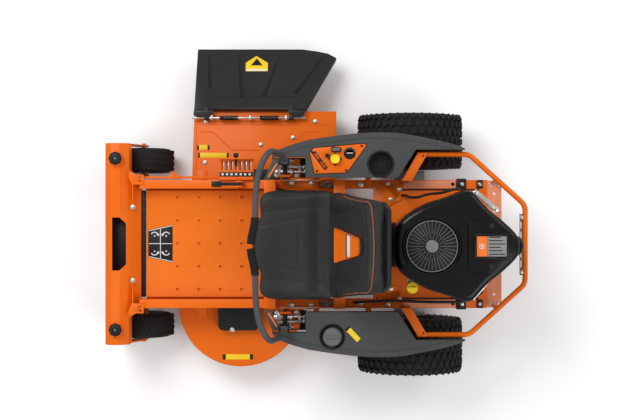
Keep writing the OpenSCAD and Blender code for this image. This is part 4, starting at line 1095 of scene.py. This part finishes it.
# Dampers, brackets and links seen through the consoles' openings
for side, s in (("right", 1), ("left", -1)):
    z = rail_top + 8
    # A black plate under the console opening: painted shade in the well below it.
    well_shade = block((-206, s * 292, rail_top - 4), (-58, s * 380, rail_top - 1), 1)
    dressed(well_shade, "lever_tray_" + side, decal_black)
    clips = [block((-186, s * 300, z + 26), (-172, s * 364, z + 31), 1),
        block((-96, s * 312, z + 4), (-84, s * 352, z + 16), 2),
        rod((-130, s * 300, z + 12), (-130, s * 372, z + 12), 3, 0.5),
        rod((-152, s * 372, z + 14), (-100, s * 360, z + 14), 4, 0.5)]
    dressed(clips, "lever_clips_" + side, steel)
    knees = [block((-118, s * 340, z + 8), (-88, s * 372, z + 20), 4),
        block((-170, s * 296, z + 4), (-146, s * 312, z + 22), 3)]
    dressed(knees, "lever_knees_" + side, orange)
    runner = block((0, s * 247, rail_top + 12), (112, s * 270, rail_top + 22), 1.5)
    dressed(runner, "seat_runner_" + side, worn)
    gap = block((250, s * 236, rail_top + 5), (700, s * 243, rail_top + 7.5), 0.5)
    dressed(gap, "plate_seam_" + side, decal_black)
    cheek = block((366, s * 245, rail_top + 5), (598, s * 280, rail_top + 9), 1)
    dressed(cheek, "plate_cheek_" + side, pale_orange)
    damper = [rod((-196, s * 318, z + 20), (-120, s * 318, z + 20), 11, 2),
        rod((-120, s * 318, z + 20), (-70, s * 318, z + 20), 4, 0.5)]
    damper += [ball((-68, s * 318, z + 20), 9), ball((-198, s * 318, z + 20), 9)]
    dressed(damper, "damper_" + side, bright_steel)
    link = [rod((-205, s * 344, z + 40), (-70, s * 336, z + 30), 5, 0.5), ball((-70, s * 336, z + 30), 9)]
    dressed(link, "drive_link_" + side, steel)
    arm = slab([(-200, s * 296), (-90, s * 296), (-84, s * 306), (-120, s * 366), (-150, s * 372),
        (-200, s * 350)], z - 8, z - 2, 0.8)
    hole = [rod((-170, s * 325, z - 20), (-170, s * 325, z + 10), 10, 0),
        rod((-130, s * 330, z - 20), (-130, s * 330, z + 10), 7, 0)]
    dressed(cut(arm, hole), "lever_stop_" + side, orange)
    screws("lever_stop_bolts_" + side, [(-190, s * 303, z - 2), (-104, s * 303, z - 2),
        (-150, s * 357, z - 2)], 8, 7)
    bar_copper = block((-170, s * 276, rail_top + 6), (0, s * 286, rail_top + 13), 1.5)
    dressed(bar_copper, "belt_guide_" + side, copper)
    screws("belt_guide_bolts_" + side, [(-125, s * 268, rail_top + 6), (-36, s * 268, rail_top),
        (30, s * 268, rail_top), (180, s * 262, rail_top)], 8, 8)

# ---- Seat ----

seat_low, seat_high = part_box("seat_cushion")
lean = math.radians(22)
up = Vector((math.sin(lean), 0, math.cos(lean)))
out = Vector((-math.cos(lean), 0, math.sin(lean)))
foot = Vector((datum_x + 43 * MM, datum_y, seat_high.z))


def on_back(side, height, lift=0.0):
    """A point by the seat back's front face, in metres: across, up its slope and proud of it."""
    return foot + Vector((0, side * MM, 0)) + up * (height * MM) + out * (lift * MM)


def padded_shape(pieces, cap):
    """A stuffed cover over these shapes: one skin, blown up by cloth and held to a cap."""
    piece = joined(pieces)
    applied(piece, "REMESH", mode="VOXEL", voxel_size=6.5 * MM)
    mesh = piece.data
    normals = [v.normal.copy() for v in mesh.vertices]
    for vertex, normal in zip(mesh.vertices, normals):
        vertex.co -= normal * cap * MM * 0.8
    applied(piece, "SMOOTH", factor=0.5, iterations=14)
    start = np.array([v.co for v in mesh.vertices])
    cloth = piece.modifiers.new("cloth", "CLOTH")
    cloth.settings.quality = 4
    cloth.settings.use_pressure = True
    cloth.settings.uniform_pressure_force = 4
    cloth.settings.effector_weights.gravity = 0
    cloth.settings.tension_stiffness = 25
    cloth.point_cache.frame_start = 1
    cloth.point_cache.frame_end = 20
    for step in range(1, 17):
        bpy.context.scene.frame_set(step)
    only(piece)
    bpy.ops.object.modifier_apply(modifier="cloth")
    bpy.context.scene.frame_set(1)
    end = np.array([v.co for v in piece.data.vertices])
    move = end - start
    length = np.linalg.norm(move, axis=1, keepdims=True)
    move *= np.minimum(1.0, cap * MM / np.maximum(length, 1e-9))
    for vertex, co in zip(piece.data.vertices, start + move):
        vertex.co = co
    applied(piece, "SMOOTH", factor=0.5, iterations=4)
    return piece


def groove(distance, width, depth):
    """How far a seam pulls the cover in, at a distance from its line."""
    return depth * math.exp(-(distance / width) ** 2)


def step_up(value, start, end):
    share = min(1.0, max(0.0, (value - start) / (end - start)))
    return share * share * (3 - 2 * share)


seat_z = seat_high.z / MM
nose = slab([(-262, 118), (-302, 92), (-306, 60), (-306, -60), (-302, -92), (-262, -118), (-200, -118),
    (-200, 118)], seat_z - 92, seat_z - 2, 0)
fold = rod((26, -218, seat_z - 44), (26, 218, seat_z - 44), 34, 0, 48)
padding = padded_shape([copied("seat_cushion"), copied("seat_back"), nose, fold], 10)
share = padding.data.attributes.new("rim", "FLOAT", "POINT")
rim_share = []
for vertex in padding.data.vertices:
    rel = vertex.co - foot
    side, height, depth = abs(rel.y) / MM, rel.dot(up) / MM, rel.dot(out) / MM
    x = back_to_mm(vertex.co)[0]
    edge_line = 228 - 0.118 * max(height, 0)
    rim_share.append(step_up(height, 60, 150) * step_up(max(side - edge_line, height - 428), -2, 4))
    vertex.co.y += rel.y * 0.03 * step_up(height, -60, 60)
    on_front = step_up(depth, -34, -14) * step_up(height, 6, 60)
    top = step_up(vertex.co.z, seat_low.z + 0.05, seat_high.z - 0.02)
    top *= (1 - step_up(x, -10, 40)) * (1 - on_front)
    if on_front > 0:
        seam = 132 + 34 * step_up(height, 60, 380)
        pull = groove(side - seam, 5.0, 5) + (groove(height - 352, 5.0, 4) if side < seam else 0)
        rise = 16 * step_up(side, seam - 8, seam + 42) - 12 * math.exp(-(side / 120) ** 2)
        vertex.co += out * ((rise - pull) * on_front * MM)
    if top > 0:
        seam = 142 + 18 * step_up(x, -240, -40)
        inner = 78 + 0.18 * (x + 270)
        lift = 9 * step_up(side, seam, seam + 46) - 8 * math.exp(-(side / 130) ** 2) * step_up(x, -250, -60)
        lift -= 16 * step_up(x, -70, 10)
        pull = groove(side - seam, 5.0, 3) + (groove(side - inner, 4.0, 3.2) if x < -84 else 0)
        pull += groove(x + 88, 4.0, 3.6) if side < 84 else 0
        vertex.co.z += (lift - pull) * top * MM
share.data.foreach_set("value", rim_share)
applied(padding, "SUBSURF", levels=1, render_levels=1)
rounded_edges(padding, 0)


def on_skin(side, height, lift=0.0):
    """A point on the padded back's front, or on its nearest edge, in millimetres from the datum."""
    hit, at, normal, face = padding.ray_cast(on_back(side, height, 140), -out)
    if not hit:
        hit, at, normal, face = padding.closest_point_on_mesh(on_back(side, height))
    at = at + normal * lift * MM
    return back_to_mm(at)


def back_panel(corners, low, high, edge=1.0):
    """A thin panel that lies parallel to the back, drawn across and up its slope."""
    panel = slab(corners, 0, high - low, edge)
    for vertex in panel.data.vertices:
        side, height, lift = back_to_mm(vertex.co)
        vertex.co = on_back(side, height, low + lift)
    return cleaned(panel)


half = [(-226, 130), (-219, 190), (-210, 265), (-200, 330), (-190, 380), (-176, 412), (-150, 424),
    (-75, 429)]
line = [on_skin(side, height, 1.4) for side, height in half]
line += [on_skin(0, 430, 1.4)] + [on_skin(-side, height, 1.4) for side, height in reversed(half)]
dressed(tube(line, 2.2, steps=8), "seat_piping", piping, "seat")

# A lined opening through the seat back
rounded_opening = [(-68, 37), (68, 37), (74, 46), (36, 284), (28, 292), (-28, 292), (-36, 284), (-74, 46)]
cut(padding, [back_panel(rounded_opening, -16, 60, 0)])
rounded_edges(padding, 0)
dressed(padding, "seat_padding", vinyl, "seat")
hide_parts("seat_cushion", "seat_back")
lining = cut(back_panel(rounded_opening, -15, -2, 0), [back_panel([(0.93 * side,
    164 + 0.96 * (height - 164)) for side, height in rounded_opening], -10, 30, 0),
    back_panel([(-52, 140), (52, 140), (48, 164), (-48, 164)], -40, 20, 0)])
dressed(rounded_edges(lining, 0.8), "seat_opening_lining", orange_floor, "seat")
dressed(back_panel([(-52, 138), (52, 138), (48, 166), (-48, 166)], -16.5, -13.5), "seat_opening_slot",
    decal_black, "seat")
dressed(back_panel([(-47, 166), (47, 166), (43, 192), (-43, 192)], -11, -6, 1.5), "seat_opening_band",
    decal_white, "seat")
# A black arc above the opening: painted shade in the recess behind its top edge.
opening_shade_arc = tube([on_skin(-30, 306, 1), on_skin(-22, 320, 2), on_skin(0, 326, 2), on_skin(22, 320, 2),
    on_skin(30, 306, 1)], 5)
dressed(opening_shade_arc, "seat_opening_shade_arc", decal_black, "seat")

for node, finish in (("seat_pan", black_plastic), ("seat_plate", satin_black)):
    soften(node, finish, 2.5)
shell_points = [(-196, 20), (196, 20), (182, 380), (150, 432), (-150, 432), (-182, 380)]
shell = slab(shell_points, 0, 18, 3, 3)
for vertex in shell.data.vertices:
    side, height, lift = back_to_mm(vertex.co)
    vertex.co = on_back(side, height, lift - 88)
dressed(cleaned(shell), "seat_back_shell", black_plastic, "seat")

# ---- Blades, which keep their CAD mesh ----

for node in ("blade_right", "blade_left"):
    blade = frame["nodes"][node]
    blade.data.materials.clear()
    blade.data.materials.append(blade_steel.material)
